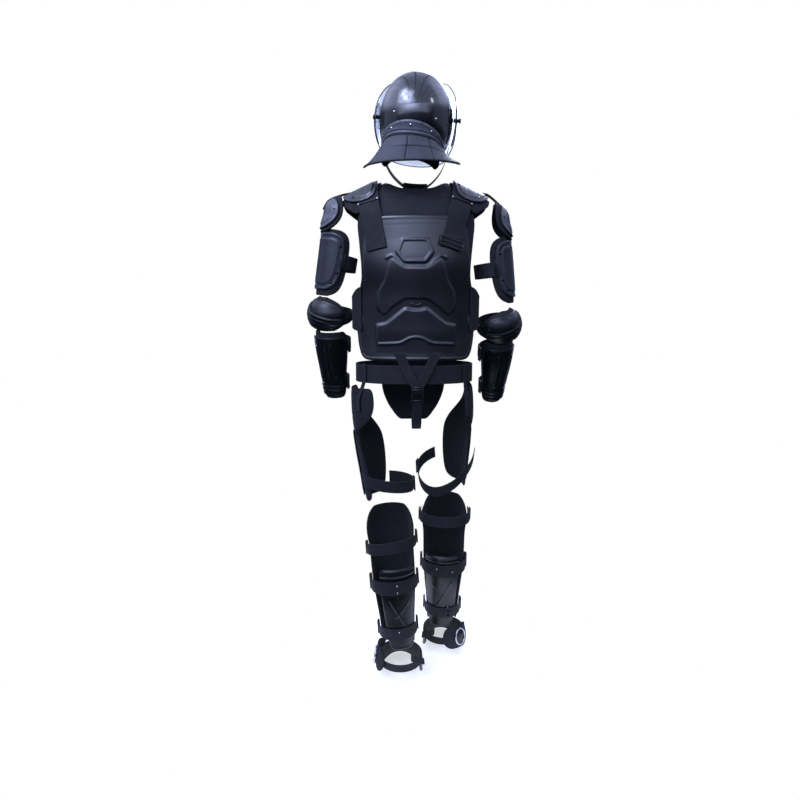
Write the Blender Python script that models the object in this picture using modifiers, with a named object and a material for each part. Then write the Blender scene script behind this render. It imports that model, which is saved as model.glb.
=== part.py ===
"""A riot suit as it is worn: helmet with a lifting visor, armoured vest, arm, thigh and leg guards, and belt.

The wearer faces +Y and the wearer's right is +X. Heights in the tables are above the line of the heels.
The origin is on the line where the shoulders bear the suit. Every piece is a sheet laid on a form, which is
a general figure, at its own distance from it, so that cloth, plate and webbing lie in layers.
"""

import math

import bmesh
import bpy
import numpy as np
from mathutils import Matrix, Vector

# ---- driving sizes, in metres
SHOULDER_HEIGHT = 1.550
CLOTH = 0.006  # padded cloth
HARD = 0.003  # moulded plate
WEBBING = 0.002
SEAM = 0.0003
LAYER = 0.002  # room between two layers that lie on each other
ON_PAD = CLOTH + LAYER
ON_PLATE = ON_PAD + HARD + LAYER
ON_TWO_PADS = ON_PAD + CLOTH + LAYER
ON_ARM = ON_THIGH = ON_PAD + 0.001  # plates that bend more sharply than the pads below them

# ---- torso: one way up the back, over the shoulder and down the front
BLADE_HEIGHT = 1.450  # from here the panels bend over the shoulder
TURN = 0.150  # the way from there to the shoulder line
VEST_SHIFT = -0.004  # the vest sits a little to the left of the belt's buckle line
NECK_SIDE = 0.088
NECK_HEIGHT = 1.580
SHOULDER_FALL = 0.45  # drop of the shoulder line, metre by metre outwards
TORSO = (
    # height, back, front, sweep of the sides
    (1.060, 0.120, 0.128, 0.056),
    (1.150, 0.118, 0.128, 0.058),
    (1.250, 0.123, 0.134, 0.062),
    (1.350, 0.132, 0.140, 0.060),
    (1.450, 0.122, 0.128, 0.050),
)
SWEEP_AT = 0.170
SWEEP_POWER = 2.2

# ---- helmet, about its own centre, which is turned with the head
HEAD_CENTRE = (-0.002, 0.010, 1.762)
HEAD_TURN = -8.0
HEAD_LEAN = 5.0  # to the wearer's right
HEAD_POWER = 0.80  # below one makes the crown fuller than an ellipsoid's
SHELL_RADII = (0.108, 0.136, 0.127)
SHELL_WALL = 0.004
VISOR_RADII = (0.1205, 0.160, 0.136)
VISOR_WALL = 0.003
PIVOT_UP = 0.010  # the knobs' height above the helmet's centre
PIVOT_RADIUS = 0.0045
HEM_RADII = (0.144, 0.186)  # of the neck guard's lower edge, which hangs level
HEM_SHIFT = -0.008
HEM_DOWN = -0.151
HEM_RISE = 0.024  # of its two ends
RIM = (
    # angle from the back, polar angle of the shell's lower edge
    (0.0, 118.0),
    (60.0, 121.0),
    (90.0, 132.0),
    (108.0, 136.0),
    (124.0, 114.0),
    (140.0, 86.0),
    (160.0, 75.0),
    (180.0, 72.0),
)

# ---- limbs: each has a straight axis and elliptical sections along it
UPPER_ARM = (
    # down, width, back, front
    (-0.055, 0.022, 0.022, 0.022),
    (-0.045, 0.035, 0.035, 0.035),
    (-0.025, 0.046, 0.047, 0.047),
    (0.010, 0.050, 0.052, 0.052),
    (0.100, 0.048, 0.050, 0.048),
    (0.250, 0.046, 0.046, 0.046),
)
ELBOW = (
    (-0.050, 0.024, 0.024, 0.020),
    (-0.038, 0.042, 0.040, 0.036),
    (-0.018, 0.055, 0.053, 0.046),
    (0.004, 0.058, 0.057, 0.048),
    (0.024, 0.053, 0.053, 0.045),
    (0.042, 0.040, 0.040, 0.036),
)
FOREARM = (
    (0.040, 0.044, 0.044, 0.044),
    (0.100, 0.043, 0.045, 0.043),
    (0.190, 0.033, 0.035, 0.033),
    (0.275, 0.027, 0.029, 0.027),
)
THIGH = (
    (-0.100, 0.090, 0.100, 0.098),
    (0.000, 0.092, 0.100, 0.098),
    (0.100, 0.083, 0.088, 0.088),
    (0.200, 0.071, 0.075, 0.076),
    (0.300, 0.062, 0.065, 0.066),
)
LOWER_LEG = (
    (-0.090, 0.062, 0.060, 0.064),
    (-0.030, 0.070, 0.062, 0.074),
    (0.040, 0.065, 0.062, 0.068),
    (0.110, 0.063, 0.066, 0.058),
    (0.160, 0.061, 0.064, 0.056),
    (0.270, 0.051, 0.050, 0.048),
    (0.390, 0.044, 0.044, 0.046),
)
FOOT = (
    (-0.020, 0.057, 0.048, 0.058),
    (0.010, 0.062, 0.050, 0.070),
    (0.045, 0.062, 0.052, 0.100),
    (0.075, 0.060, 0.052, 0.135),
)

# ---- colours and finishes
FINISHES = {
    # name: sRGB hex, roughness, metallic
    "armour": ("1B1D28", 0.38, 0.0),
    "shell": ("1C1F2A", 0.16, 0.0),
    "cloth": ("24252E", 0.85, 0.0),
    "webbing": ("202128", 0.80, 0.0),
    "guard": ("33384A", 0.60, 0.0),
    "clear": ("C9D6F0", 0.08, 0.0),
    "knob": ("15161A", 0.35, 0.0),
}


def linear(hex_colour):
    """An sRGB hex colour as linear red, green, blue and alpha."""
    parts = [int(hex_colour[i : i + 2], 16) / 255 for i in (0, 2, 4)]
    return [c / 12.92 if c <= 0.04045 else ((c + 0.055) / 1.055) ** 2.4 for c in parts] + [1.0]


def finish(name):
    """The Principled material of a finish, made once."""
    if name in bpy.data.materials:
        return bpy.data.materials[name]
    colour, roughness, metallic = FINISHES[name]
    material = bpy.data.materials.new(name)
    material.use_nodes = True
    shader = material.node_tree.nodes["Principled BSDF"]
    shader.inputs["Base Color"].default_value = linear(colour)
    shader.inputs["Roughness"].default_value = roughness
    shader.inputs["Metallic"].default_value = metallic
    return material


# ---- forms


def section(table, key):
    """The other columns of a table, on smooth curves through its rows and level beyond its ends."""
    rows = np.array(table)
    keys = rows[:, 0]
    key = min(max(key, keys[0]), keys[-1])
    slopes = np.gradient(rows, keys, axis=0)
    low = min(int(np.searchsorted(keys, key, side="right")), len(keys) - 1) - 1
    span = keys[low + 1] - keys[low]
    t = (key - keys[low]) / span
    before = (2 * t**3 - 3 * t**2 + 1) * rows[low] + (t**3 - 2 * t**2 + t) * span * slopes[low]
    after = (3 * t**2 - 2 * t**3) * rows[low + 1] + (t**3 - t**2) * span * slopes[low + 1]
    return [float(value) for value in (before + after)[1:]]


def edge_at(table, key):
    """The other columns of a table, on straight lines between its rows."""
    rows = np.array(table)
    return [float(np.interp(key, rows[:, 0], rows[:, i])) for i in range(1, rows.shape[1])]


def on_ellipse(angle, width, back, front, out):
    """A point at an angle from the back, measured towards the limb's outer side."""
    turn = math.radians(angle)
    depth = back if math.cos(turn) > 0 else front
    return (width + out) * math.sin(turn), -(depth + out) * math.cos(turn)


def limb_form(table, side):
    """Points on a limb, in its own frame: across is an angle, along is the way down its axis."""

    def point(angle, down, out):
        x, y = on_ellipse(angle, *section(table, down), out)
        return Vector((side * x, y, -down))

    return point


def torso_base(x, way):
    """The torso's surface: way is a height on the back, and runs on over the shoulder and down the front."""
    over = (way - BLADE_HEIGHT) / TURN
    right = x + VEST_SHIFT
    height = way if over < 0 else 2 * (BLADE_HEIGHT + TURN) - way
    back, front, sweep = section(TORSO, min(height, BLADE_HEIGHT))
    drawn_in = sweep * (abs(x) / SWEEP_AT) ** SWEEP_POWER
    if over < 0:
        return Vector((right, drawn_in - back, way))
    if over > 2:
        return Vector((right, front - drawn_in, height))
    turn = math.radians(90 * over)
    depth = back if over < 1 else front
    shoulder = NECK_HEIGHT - SHOULDER_FALL * max(abs(x) - NECK_SIDE, 0)
    rise = shoulder - BLADE_HEIGHT
    return Vector((right, (drawn_in - depth) * math.cos(turn), BLADE_HEIGHT + rise * math.sin(turn)))


def torso_form(x, way, out):
    """A point at a distance from the torso, square to its surface."""
    step = 0.002
    across = torso_base(x + step, way) - torso_base(x - step, way)
    along = torso_base(x, way + step) - torso_base(x, way - step)
    return torso_base(x, way) + out * across.cross(along).normalized()


def down_front(height):
    """The way of a height on the torso's front."""
    return 2 * (BLADE_HEIGHT + TURN) - height


def head_form(radii):
    """Points on an ellipsoid: across is an angle from the back, along is the polar angle from the crown."""

    def point(angle, polar, out):
        flat = math.sin(math.radians(polar)) ** HEAD_POWER
        turn = math.radians(angle)
        return Vector(
            (
                (radii[0] + out) * flat * math.sin(turn),
                -(radii[1] + out) * flat * math.cos(turn),
                (radii[2] + out) * math.cos(math.radians(polar)),
            )
        )

    return point


# ---- making sheets


def place_for(frame):
    """An empty that holds the pieces of one stretch of the figure."""
    empty = bpy.data.objects.new("frame", None)
    empty.matrix_world = frame
    bpy.context.scene.collection.objects.link(empty)
    return empty


def limb_place(top, bottom):
    """The frame of a limb whose axis runs between two points, with +Y forward."""
    top, bottom = Vector(top), Vector(bottom)
    axis = (top - bottom).normalized()
    forward = axis.cross(Vector((1, 0, 0))).normalized()
    turn = Matrix((forward.cross(axis), forward, axis)).transposed().to_4x4()
    return place_for(Matrix.Translation(top - Vector((0, 0, SHOULDER_HEIGHT))) @ turn)


def finished(name, mesh_data, place, finish_name, wall, outwards=True):
    """Links a sheet, gives it its wall and shades it."""
    piece = bpy.data.objects.new(name, mesh_data)
    SUIT.objects.link(piece)
    piece.parent = place
    mesh_data.materials.append(finish(finish_name))
    if wall:
        solid = piece.modifiers.new("wall", "SOLIDIFY")
        solid.thickness = wall
        solid.offset = 1.0 if outwards else -1.0
    mesh_data.shade_smooth()
    mesh_data.set_sharp_from_angle(angle=math.radians(40))
    return piece


def sheet(name, place, form, rows, columns, finish_name, wall, arch=0.0, smooth=0):
    """A sheet laid on a form. Each row gives its way, its two ends across and how far out it lies.

    arch moves the middle of every row along the way, and smooth adds lines between the rows.
    """
    table = np.array(rows)
    lines = (len(rows) - 1) * (smooth + 1)
    grid = bmesh.new()
    bmesh.ops.create_grid(grid, x_segments=columns, y_segments=lines, size=1.0)
    order = np.linspace(0, 1, len(rows))
    for vertex in grid.verts:
        across, along = (vertex.co.x + 1) / 2, (vertex.co.y + 1) / 2
        way, start, end, out = (float(np.interp(along, order, table[:, i])) for i in range(4))
        bow = arch * (1 - (2 * across - 1) ** 2)
        vertex.co = form(start + across * (end - start), way + bow, out)
    return finished(name, outward_mesh(name, grid, form, table), place, finish_name, wall)


def outward_mesh(name, grid, form, table):
    """The grid as a mesh whose faces point away from the form."""
    way, start, end, out = (float(value) for value in table[len(table) // 2])
    middle = (start + end) / 2
    away = form(middle, way, out + 0.01) - form(middle, way, out)
    nearest = min(grid.faces, key=lambda f: (f.calc_center_median() - form(middle, way, out)).length)
    nearest.normal_update()
    if nearest.normal.dot(away) < 0:
        bmesh.ops.reverse_faces(grid, faces=grid.faces)
    mesh_data = bpy.data.meshes.new(name)
    grid.to_mesh(mesh_data)
    grid.free()
    return mesh_data


def strap(name, place, form, route, half_width, columns, finish_name="webbing", wall=WEBBING):
    """Webbing round a form. Each row of its route gives an angle, the way of its middle and how far out."""
    table = np.array(route)
    order = np.linspace(0, 1, len(route))
    grid = bmesh.new()
    bmesh.ops.create_grid(grid, x_segments=columns, y_segments=1, size=1.0)
    for vertex in grid.verts:
        along = (vertex.co.x + 1) / 2
        angle, way, out = (float(np.interp(along, order, table[:, i])) for i in range(3))
        vertex.co = form(angle, way + half_width * vertex.co.y, out)
    middle = table[len(table) // 2]
    line = np.array([[middle[1], middle[0], middle[0], middle[2]]])
    return finished(name, outward_mesh(name, grid, form, line), place, finish_name, wall)


# ---- vest

PANEL_EDGE = (
    # way, half width
    (1.078, 0.144),
    (1.120, 0.153),
    (1.200, 0.161),
    (1.270, 0.154),
    (1.340, 0.153),
    (1.410, 0.159),
    (1.460, 0.163),
    (1.510, 0.156),
    (1.600, 0.150),
)


def vest_panel(name, face, neck_way):
    """The padded carrier of one side: from the hem up to the shoulder line, cut out for the neck."""
    half_width = PANEL_EDGE[-1][1]
    top_way = BLADE_HEIGHT + TURN - SEAM
    grid = bmesh.new()
    bmesh.ops.create_grid(grid, x_segments=12, y_segments=12, size=1.0)
    for vertex in grid.verts:
        across, along = vertex.co.x, (vertex.co.y + 1) / 2
        from_neck = min(abs(across) * half_width / NECK_SIDE, 1.0)
        top = neck_way + (top_way - neck_way) * from_neck**4
        way = PANEL_EDGE[0][0] + along * (top - PANEL_EDGE[0][0])
        x = across * edge_at(PANEL_EDGE, way)[0]
        vertex.co = torso_form(x, way if face < 0 else 2 * (BLADE_HEIGHT + TURN) - way, 0)
    way = 1.3 if face < 0 else down_front(1.3)
    line = np.array([[way, 0, 0, 0]])
    return finished(name, outward_mesh(name, grid, torso_form, line), VEST, "cloth", CLOTH)


PLATE_EDGE = (
    # height, half width
    (1.071, 0.140),
    (1.084, 0.154),
    (1.115, 0.162),
    (1.160, 0.166),
    (1.210, 0.170),
    (1.255, 0.167),
    (1.290, 0.153),
    (1.330, 0.150),
    (1.370, 0.150),
    (1.410, 0.147),
    (1.446, 0.138),
    (1.468, 0.118),
)


def vest_plate(name, face):
    """The moulded plate of one side, with wings at the waist."""
    rows = []
    for height, half in PLATE_EDGE:
        way = height if face < 0 else down_front(height)
        rows.append((way, -half, half, ON_PAD))
    return sheet(name, VEST, torso_form, rows, 10, "armour", HARD)


SHOULDER_LINE = BLADE_HEIGHT + TURN
STRAP_SLANT = 0.9
RIGHT_LEAN = 0.07  # the right strap leans in more than the left
SHOULDER_STRAP = (
    # way from the shoulder line, inner edge, outer edge, out
    (-0.220, 0.079, 0.132, ON_PLATE),
    (-0.170, 0.087, 0.140, ON_PLATE),
    (-0.135, 0.093, 0.147, ON_PLATE),
    (-0.112, 0.098, 0.153, ON_TWO_PADS),
    (-0.065, 0.103, 0.160, ON_TWO_PADS),
    (0.000, 0.106, 0.163, ON_TWO_PADS),
)
SHOULDER_PAD = (
    # way from the shoulder line, inner edge, outer edge, out
    (-0.112, 0.158, 0.166, ON_PAD),
    (-0.090, 0.128, 0.188, ON_PAD),
    (-0.065, 0.104, 0.206, ON_PAD),
    (0.000, 0.096, 0.212, ON_PAD),
)
ON_STRAP = ON_TWO_PADS + WEBBING + LAYER
SHOULDER_PLATE = (
    (-0.088, 0.128, 0.150, ON_STRAP),
    (-0.078, 0.106, 0.178, ON_STRAP),
    (-0.045, 0.102, 0.202, ON_STRAP),
    (0.000, 0.102, 0.207, ON_STRAP),
)


def over_shoulder(table, side):
    """Rows for a sheet that runs down the front as the table says that it does down the back."""
    back = [(SHOULDER_LINE + way, side * inner, side * outer, out) for way, inner, outer, out in table]
    front = [(2 * SHOULDER_LINE - way, inner, outer, out) for way, inner, outer, out in reversed(back[:-1])]
    return back + front


def slanted(x, way, out):
    """The torso's surface for webbing that leans inwards, so that its ends are square to it."""
    below = way - SHOULDER_LINE
    if x > 0:
        x -= RIGHT_LEAN * abs(below)
    return torso_form(x, SHOULDER_LINE + below * (1 + STRAP_SLANT * (abs(x) - 0.12)), out)


def shoulder(name_end, side):
    """A shoulder's pad, webbing and plate, in layers over the panels."""
    pieces = (
        ("pad", torso_form, SHOULDER_PAD, 4, "cloth", CLOTH),
        ("strap", slanted, SHOULDER_STRAP, 2, "webbing", WEBBING),
        ("plate", torso_form, SHOULDER_PLATE, 4, "armour", HARD),
    )
    for piece, form, table, columns, finish_name, wall in pieces:
        name = f"shoulder_{piece}_{name_end}"
        sheet(name, VEST, form, over_shoulder(table, side), columns, finish_name, wall, smooth=1)


SIDE_STRAP = (
    # across, lower edge, upper edge
    (0.150, 1.155, 1.285),
    (0.162, 1.155, 1.281),
    (0.172, 1.158, 1.270),
    (0.179, 1.165, 1.254),
)


def side_strap(name, side):
    """The elastic panel that closes the vest at the waist, from the back plate to the chest plate."""
    edge = [(x, low, high, False) for x, low, high in SIDE_STRAP]
    edge += [(x, low, high, True) for x, low, high in reversed(SIDE_STRAP)]
    grid = bmesh.new()
    bmesh.ops.create_grid(grid, x_segments=len(edge) - 1, y_segments=3, size=1.0)
    for vertex in grid.verts:
        x, low, high, ahead = edge[round((vertex.co.x + 1) / 2 * (len(edge) - 1))]
        height = low + (high - low) * (vertex.co.y + 1) / 2
        vertex.co = torso_form(side * x, down_front(height) if ahead else height, ON_PLATE)
    outermost = max(grid.faces, key=lambda f: side * f.calc_center_median().x)
    outermost.normal_update()
    if outermost.normal.x * side < 0:
        bmesh.ops.reverse_faces(grid, faces=grid.faces)
    mesh_data = bpy.data.meshes.new(name)
    grid.to_mesh(mesh_data)
    grid.free()
    return finished(name, mesh_data, VEST, "webbing", WEBBING)


# ---- helmet


def helmet_shell():
    """The shell: half a sphere stretched down to its rim, which rises over the face."""
    surface = head_form(SHELL_RADII)
    rim = np.array(RIM)
    dome = bmesh.new()
    bmesh.ops.create_uvsphere(dome, u_segments=28, v_segments=16, radius=1.0)
    lower = [v for v in dome.verts if v.co.z < -0.01]
    bmesh.ops.delete(dome, geom=lower, context="VERTS")
    for vertex in dome.verts:
        angle = math.degrees(math.atan2(vertex.co.x, -vertex.co.y))
        down = math.degrees(math.acos(min(vertex.co.z, 1.0))) / 90
        lowest = float(np.interp(abs(angle), rim[:, 0], rim[:, 1]))
        vertex.co = surface(angle, down * lowest, 0)
    mesh_data = bpy.data.meshes.new("helmet_shell")
    dome.to_mesh(mesh_data)
    dome.free()
    return finished("helmet_shell", mesh_data, HEAD, "shell", SHELL_WALL, outwards=False)


def droop(angle):
    """How far the band and the apron's top run down towards the ears, as a polar angle."""
    return 14.0 * abs(angle / 90) ** 3.2


TURNED = Matrix.Rotation(math.radians(HEAD_TURN), 3, "Z")
LEANING = Matrix.Rotation(math.radians(HEAD_LEAN), 3, "Y")
UPRIGHT = TURNED.inverted() @ LEANING.inverted() @ TURNED


def neck_guard_form(angle, way, out):
    """The apron's surface: from the band's lower edge it flares, a little hollow, to its hem."""
    top = head_form(SHELL_RADII)(angle, 120.5 + droop(angle), LAYER + out)
    turn = math.radians(angle)
    height = HEM_DOWN + HEM_RISE * (angle / 90) ** 2
    hem = Vector((HEM_RADII[0] * math.sin(turn) + HEM_SHIFT, -HEM_RADII[1] * math.cos(turn), height))
    hem += Vector((math.sin(turn), -math.cos(turn), 0)) * out
    hem = UPRIGHT @ hem
    flat = 0.78 * way + 0.22 * way * way
    return Vector((top.x + (hem.x - top.x) * flat, top.y + (hem.y - top.y) * flat, top.z + (hem.z - top.z) * way))


def helmet_trim():
    """The rear band and the apron under it."""
    surface = head_form(SHELL_RADII)
    band_rows = (
        # polar angle, first and last angle from the back, out
        (118.0, -98.0, 98.0, LAYER),
        (105.0, -98.0, 98.0, LAYER),
    )

    def drooping(angle, polar, out):
        return surface(angle, polar + droop(angle), out)

    sheet("helmet_band", HEAD, drooping, band_rows, 20, "shell", HARD)
    guard_rows = [(way, -90.0 + 16 * way, 90.0 - 16 * way, 0.0) for way in (0.02, 0.34, 0.67, 1.0)]
    sheet("neck_guard", HEAD, neck_guard_form, guard_rows, 18, "guard", 0.0035)


def visor():
    """The clear face shield, with a hole for each pivot, and its two knobs, placed from their joint's axis."""
    around = head_form(VISOR_RADII)

    def surface(angle, polar, out):
        return around(angle, polar, out) - Vector((0, 0, PIVOT_UP))

    rows = (
        # polar angle, first and last angle from the back
        (134.0, 118.0, 242.0, 0.0),
        (129.0, 104.0, 256.0, 0.0),
        (117.0, 94.0, 266.0, 0.0),
        (102.0, 83.0, 277.0, 0.0),
        (86.0, 78.0, 282.0, 0.0),
        (68.0, 80.0, 280.0, 0.0),
        (50.0, 86.0, 274.0, 0.0),
        (36.0, 94.0, 266.0, 0.0),
        (26.0, 112.0, 248.0, 0.0),
    )
    shield = sheet("visor", PIVOT, surface, rows, 18, "clear", VISOR_WALL)
    for name, side in (("left", -1), ("right", 1)):
        bpy.ops.mesh.primitive_cylinder_add(vertices=12, radius=PIVOT_RADIUS + SEAM, depth=0.03)
        cutter = bpy.context.object
        cutter.name = "pivot_hole_" + name
        move_to(cutter, CUTTERS)
        cutter.parent = PIVOT
        cutter.matrix_basis = Matrix.Translation((side * VISOR_RADII[0], 0, 0)) @ ACROSS
        hide(cutter)
        hole = shield.modifiers.new("pivot " + name, "BOOLEAN")
        hole.operation = "DIFFERENCE"
        hole.object = cutter
        visor_knob("visor_knob_" + name, side)


def visor_knob(name, side):
    """A turned pivot: boss against the shell, shank through the visor, fluted head outside."""
    inner = SHELL_RADII[0] + SEAM
    room_inside, room_outside = 0.003, 0.0008  # the shield is made of flats, which lie inside its curve
    face = VISOR_RADII[0] * math.sqrt(1 - (PIVOT_UP / VISOR_RADII[2]) ** 2)
    profile = (
        # radius, distance from the helmet's middle
        (0.0, face + VISOR_WALL + 0.009),
        (0.009, face + VISOR_WALL + 0.009),
        (0.011, face + VISOR_WALL + 0.007),
        (0.011, face + VISOR_WALL + room_outside),
        (PIVOT_RADIUS, face + VISOR_WALL + room_outside),
        (PIVOT_RADIUS, face - room_inside),
        (0.010, face - room_inside),
        (0.012, inner + 0.004),
        (0.012, inner),
        (0.0, inner),
    )
    outline = bmesh.new()
    corners = [outline.verts.new((radius, 0, far)) for radius, far in profile]
    for first, second in zip(corners, corners[1:]):
        outline.edges.new((first, second))
    mesh_data = bpy.data.meshes.new(name)
    outline.to_mesh(mesh_data)
    outline.free()
    knob = finished(name, mesh_data, PIVOT, "knob", 0)
    knob.matrix_basis = ACROSS if side > 0 else ACROSS_LEFT
    screw = knob.modifiers.new("turn", "SCREW")
    screw.steps = screw.render_steps = 12
    screw.merge_threshold = 0.0001
    screw.use_merge_vertices = True


def move_to(piece, collection):
    for other in list(piece.users_collection):
        other.objects.unlink(piece)
    collection.objects.link(piece)


def hide(piece):
    piece.hide_render = True
    piece.display_type = "WIRE"


# ---- arms

ARMS = (
    # name, side, shoulder, elbow, wrist, turns of the shoulder's cap, the upper arm, the elbow and the forearm
    ("left", -1, (-0.216, 0.000, 1.490), (-0.261, -0.005, 1.207), (-0.251, 0.050, 0.950), 72, 49, 52, 28),
    ("right", 1, (0.215, 0.000, 1.470), (0.252, 0.005, 1.175), (0.248, 0.105, 0.950), 88, 72, 46, 28),
)
CAP = (
    # down, half angle, further out
    (-0.047, 30, 0.0),
    (-0.036, 51, 0.0),
    (-0.016, 61, 0.0),
    (0.008, 60, 0.0),
    (0.030, 47, 0.003),
    (0.046, 24, 0.006),
)
UPPER_PLATE = (
    (0.056, 34),
    (0.064, 60),
    (0.090, 70),
    (0.140, 70),
    (0.180, 66),
    (0.208, 54),
    (0.222, 28),
)
UPPER_PAD = (
    (0.048, 46),
    (0.056, 72),
    (0.085, 86),
    (0.150, 86),
    (0.195, 80),
    (0.224, 64),
    (0.236, 34),
)
ELBOW_CAP = (
    (-0.046, 42),
    (-0.036, 78),
    (-0.016, 96),
    (0.006, 100),
    (0.026, 92),
    (0.040, 60),
)
FOREARM_PLATE = (
    (0.064, 60),
    (0.074, 80),
    (0.120, 84),
    (0.180, 84),
    (0.240, 80),
    (0.252, 60),
)
FOREARM_PAD = (
    (0.052, 76),
    (0.062, 94),
    (0.120, 100),
    (0.180, 100),
    (0.248, 96),
    (0.260, 76),
)


def turned_rows(table, turn, out):
    """Rows for a piece that is spread evenly about an angle."""
    return [(down, turn - half, turn + half, out) for down, half in table]


def arc_route(start, end, down, out):
    """A strap's route round a limb at one height."""
    return [(start, down, out), (end, down, out)]


def arm(name, side, shoulder_point, elbow_point, wrist_point, cap_turn, turn, elbow_turn, forearm_turn):
    """One arm's guards, hung on its upper arm, elbow and forearm."""
    upper = limb_place(shoulder_point, elbow_point)
    lower = limb_place(elbow_point, wrist_point)
    upper_form, elbow_form = limb_form(UPPER_ARM, side), limb_form(ELBOW, side)
    forearm_form = limb_form(FOREARM, side)
    rows = [(down, cap_turn - half, cap_turn + half, ON_PAD + out) for down, half, out in CAP]
    sheet(f"shoulder_cap_{name}", upper, upper_form, rows, 7, "armour", HARD)
    sheet(f"upper_arm_pad_{name}", upper, upper_form, turned_rows(UPPER_PAD, turn, 0), 9, "cloth", CLOTH)
    rows = turned_rows(UPPER_PLATE, turn, ON_ARM)
    sheet(f"upper_arm_plate_{name}", upper, upper_form, rows, 8, "armour", HARD)
    route = arc_route(turn + 76, turn + 284, 0.135, ON_PAD)
    strap(f"upper_arm_strap_{name}", upper, upper_form, route, 0.021, 12)
    elbow_rows = turned_rows(ELBOW_CAP, elbow_turn, ON_PAD)
    sheet(f"elbow_cap_{name}", lower, elbow_form, elbow_rows, 10, "armour", HARD)
    rows = turned_rows(FOREARM_PAD, forearm_turn, 0)
    sheet(f"forearm_pad_{name}", lower, forearm_form, rows, 10, "cloth", CLOTH)
    rows = turned_rows(FOREARM_PLATE, forearm_turn, ON_ARM)
    sheet(f"forearm_plate_{name}", lower, forearm_form, rows, 9, "armour", HARD)
    for part, down in (("upper", 0.095), ("lower", 0.215)):
        route = arc_route(forearm_turn + 88, forearm_turn + 272, down, ON_PAD)
        strap(f"forearm_strap_{part}_{name}", lower, forearm_form, route, 0.019, 10)


# ---- hips

BELT_HEIGHT = 1.030
BELT_HALF = 0.027
HIP_SHIFT = -0.007
HIP_HALF_WIDTH = 0.176
HIP_DEPTH = 0.126
HIP_POWER = 0.86


def hip_point(angle, height, out):
    """A point on the hips, which are a little squarer than an ellipse."""
    sine, cosine = math.sin(math.radians(angle)), math.cos(math.radians(angle))
    x = HIP_SHIFT + (HIP_HALF_WIDTH + out) * math.copysign(abs(sine) ** HIP_POWER, sine)
    y = -(HIP_DEPTH + out) * math.copysign(abs(cosine) ** HIP_POWER, cosine)
    return Vector((x, y, height))


def waist_belt():
    """The belt: a closed ring of webbing."""
    ring = bmesh.new()
    bmesh.ops.create_cone(
        ring, cap_ends=False, segments=32, radius1=1.0, radius2=1.0, depth=2.0
    )
    for vertex in ring.verts:
        angle = math.degrees(math.atan2(vertex.co.x, -vertex.co.y))
        vertex.co = hip_point(angle, BELT_HEIGHT + BELT_HALF * math.copysign(1, vertex.co.z), 0)
    mesh_data = bpy.data.meshes.new("waist_belt")
    ring.to_mesh(mesh_data)
    ring.free()
    finished("waist_belt", mesh_data, VEST, "webbing", 0.003)


GROIN_WAY = (
    # way, forward, height
    (0.000, -0.1440, 1.096),
    (0.050, -0.1400, 1.050),
    (0.110, -0.1360, 0.990),
    (0.165, -0.1260, 0.936),
    (0.215, -0.1000, 0.887),
    (0.260, -0.0600, 0.864),
    (0.320, 0.0000, 0.856),
    (0.370, 0.0480, 0.868),
    (0.400, 0.0720, 0.886),
)
GROIN_EDGES = (
    # way, inner edge, outer edge
    (0.000, 0.042, 0.068),
    (0.050, 0.020, 0.046),
    (0.075, 0.009, 0.035),
    (0.092, 0.0, 0.025),
    (0.104, 0.0, 0.0135),
    (0.400, 0.0, 0.0135),
)


def groin_point(x, way, out):
    """A point on the strap's path from the back plate, between the legs, to the groin guard."""
    step = 0.002
    forward, height = section(GROIN_WAY, way)
    ahead, behind = section(GROIN_WAY, way + step), section(GROIN_WAY, way - step)
    along = Vector((0, ahead[0] - behind[0], ahead[1] - behind[1])).normalized()
    away = Vector((0, along.z, -along.y))
    return Vector((x, forward, height)) + out * away


def groin_pieces():
    """The Y of webbing, which is mirrored on its middle, its buckle and the padded guard in front."""
    ways = (0.0, 0.025, 0.05, 0.075, 0.092, 0.104, 0.13, 0.16, 0.19, 0.215, 0.24, 0.27, 0.30, 0.34, 0.37, 0.4)
    grid = bmesh.new()
    bmesh.ops.create_grid(grid, x_segments=1, y_segments=len(ways) - 1, size=1.0)
    for vertex in grid.verts:
        way = ways[round((vertex.co.y + 1) / 2 * (len(ways) - 1))]
        inner, outer = edge_at(GROIN_EDGES, way)
        vertex.co = groin_point(inner + (outer - inner) * (vertex.co.x + 1) / 2, way, 0)
    bmesh.ops.recalc_face_normals(grid, faces=grid.faces)
    top = max(grid.faces, key=lambda f: f.calc_center_median().z)
    if top.normal.y > 0:
        bmesh.ops.reverse_faces(grid, faces=grid.faces)
    mesh_data = bpy.data.meshes.new("groin_strap")
    grid.to_mesh(mesh_data)
    grid.free()
    webbing = finished("groin_strap", mesh_data, VEST, "webbing", 0)
    mirror = webbing.modifiers.new("other half", "MIRROR")
    mirror.merge_threshold = 0.0001
    solid = webbing.modifiers.new("wall", "SOLIDIFY")
    solid.thickness = WEBBING
    solid.offset = -1.0
    bpy.ops.mesh.primitive_cube_add(size=1.0)
    buckle = bpy.context.object
    buckle.name = "groin_buckle"
    move_to(buckle, SUIT)
    buckle.data.transform(Matrix.Diagonal((0.035, 0.010, 0.046, 1.0)))
    buckle.data.materials.append(finish("knob"))
    buckle.parent = VEST
    buckle.location = groin_point(0, 0.126, 0.0068)
    buckle.rotation_euler = (math.radians(4), 0, 0)
    edge = buckle.modifiers.new("edge", "BEVEL")
    edge.width = 0.0025
    edge.segments = 2
    guard_rows = (
        # height, half angle of the upper shell, out
        (0.868, 13, -0.026),
        (0.885, 18, -0.012),
        (0.915, 24, -0.002),
        (0.950, 29, 0.0),
        (0.980, 31, 0.0),
        (0.9885, 29, 0.0),
    )
    rows = [(height, 180 - half, 180 + half, out) for height, half, out in guard_rows]
    sheet("groin_guard", VEST, hip_point, rows, 8, "cloth", 0.008)


# ---- legs

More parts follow.
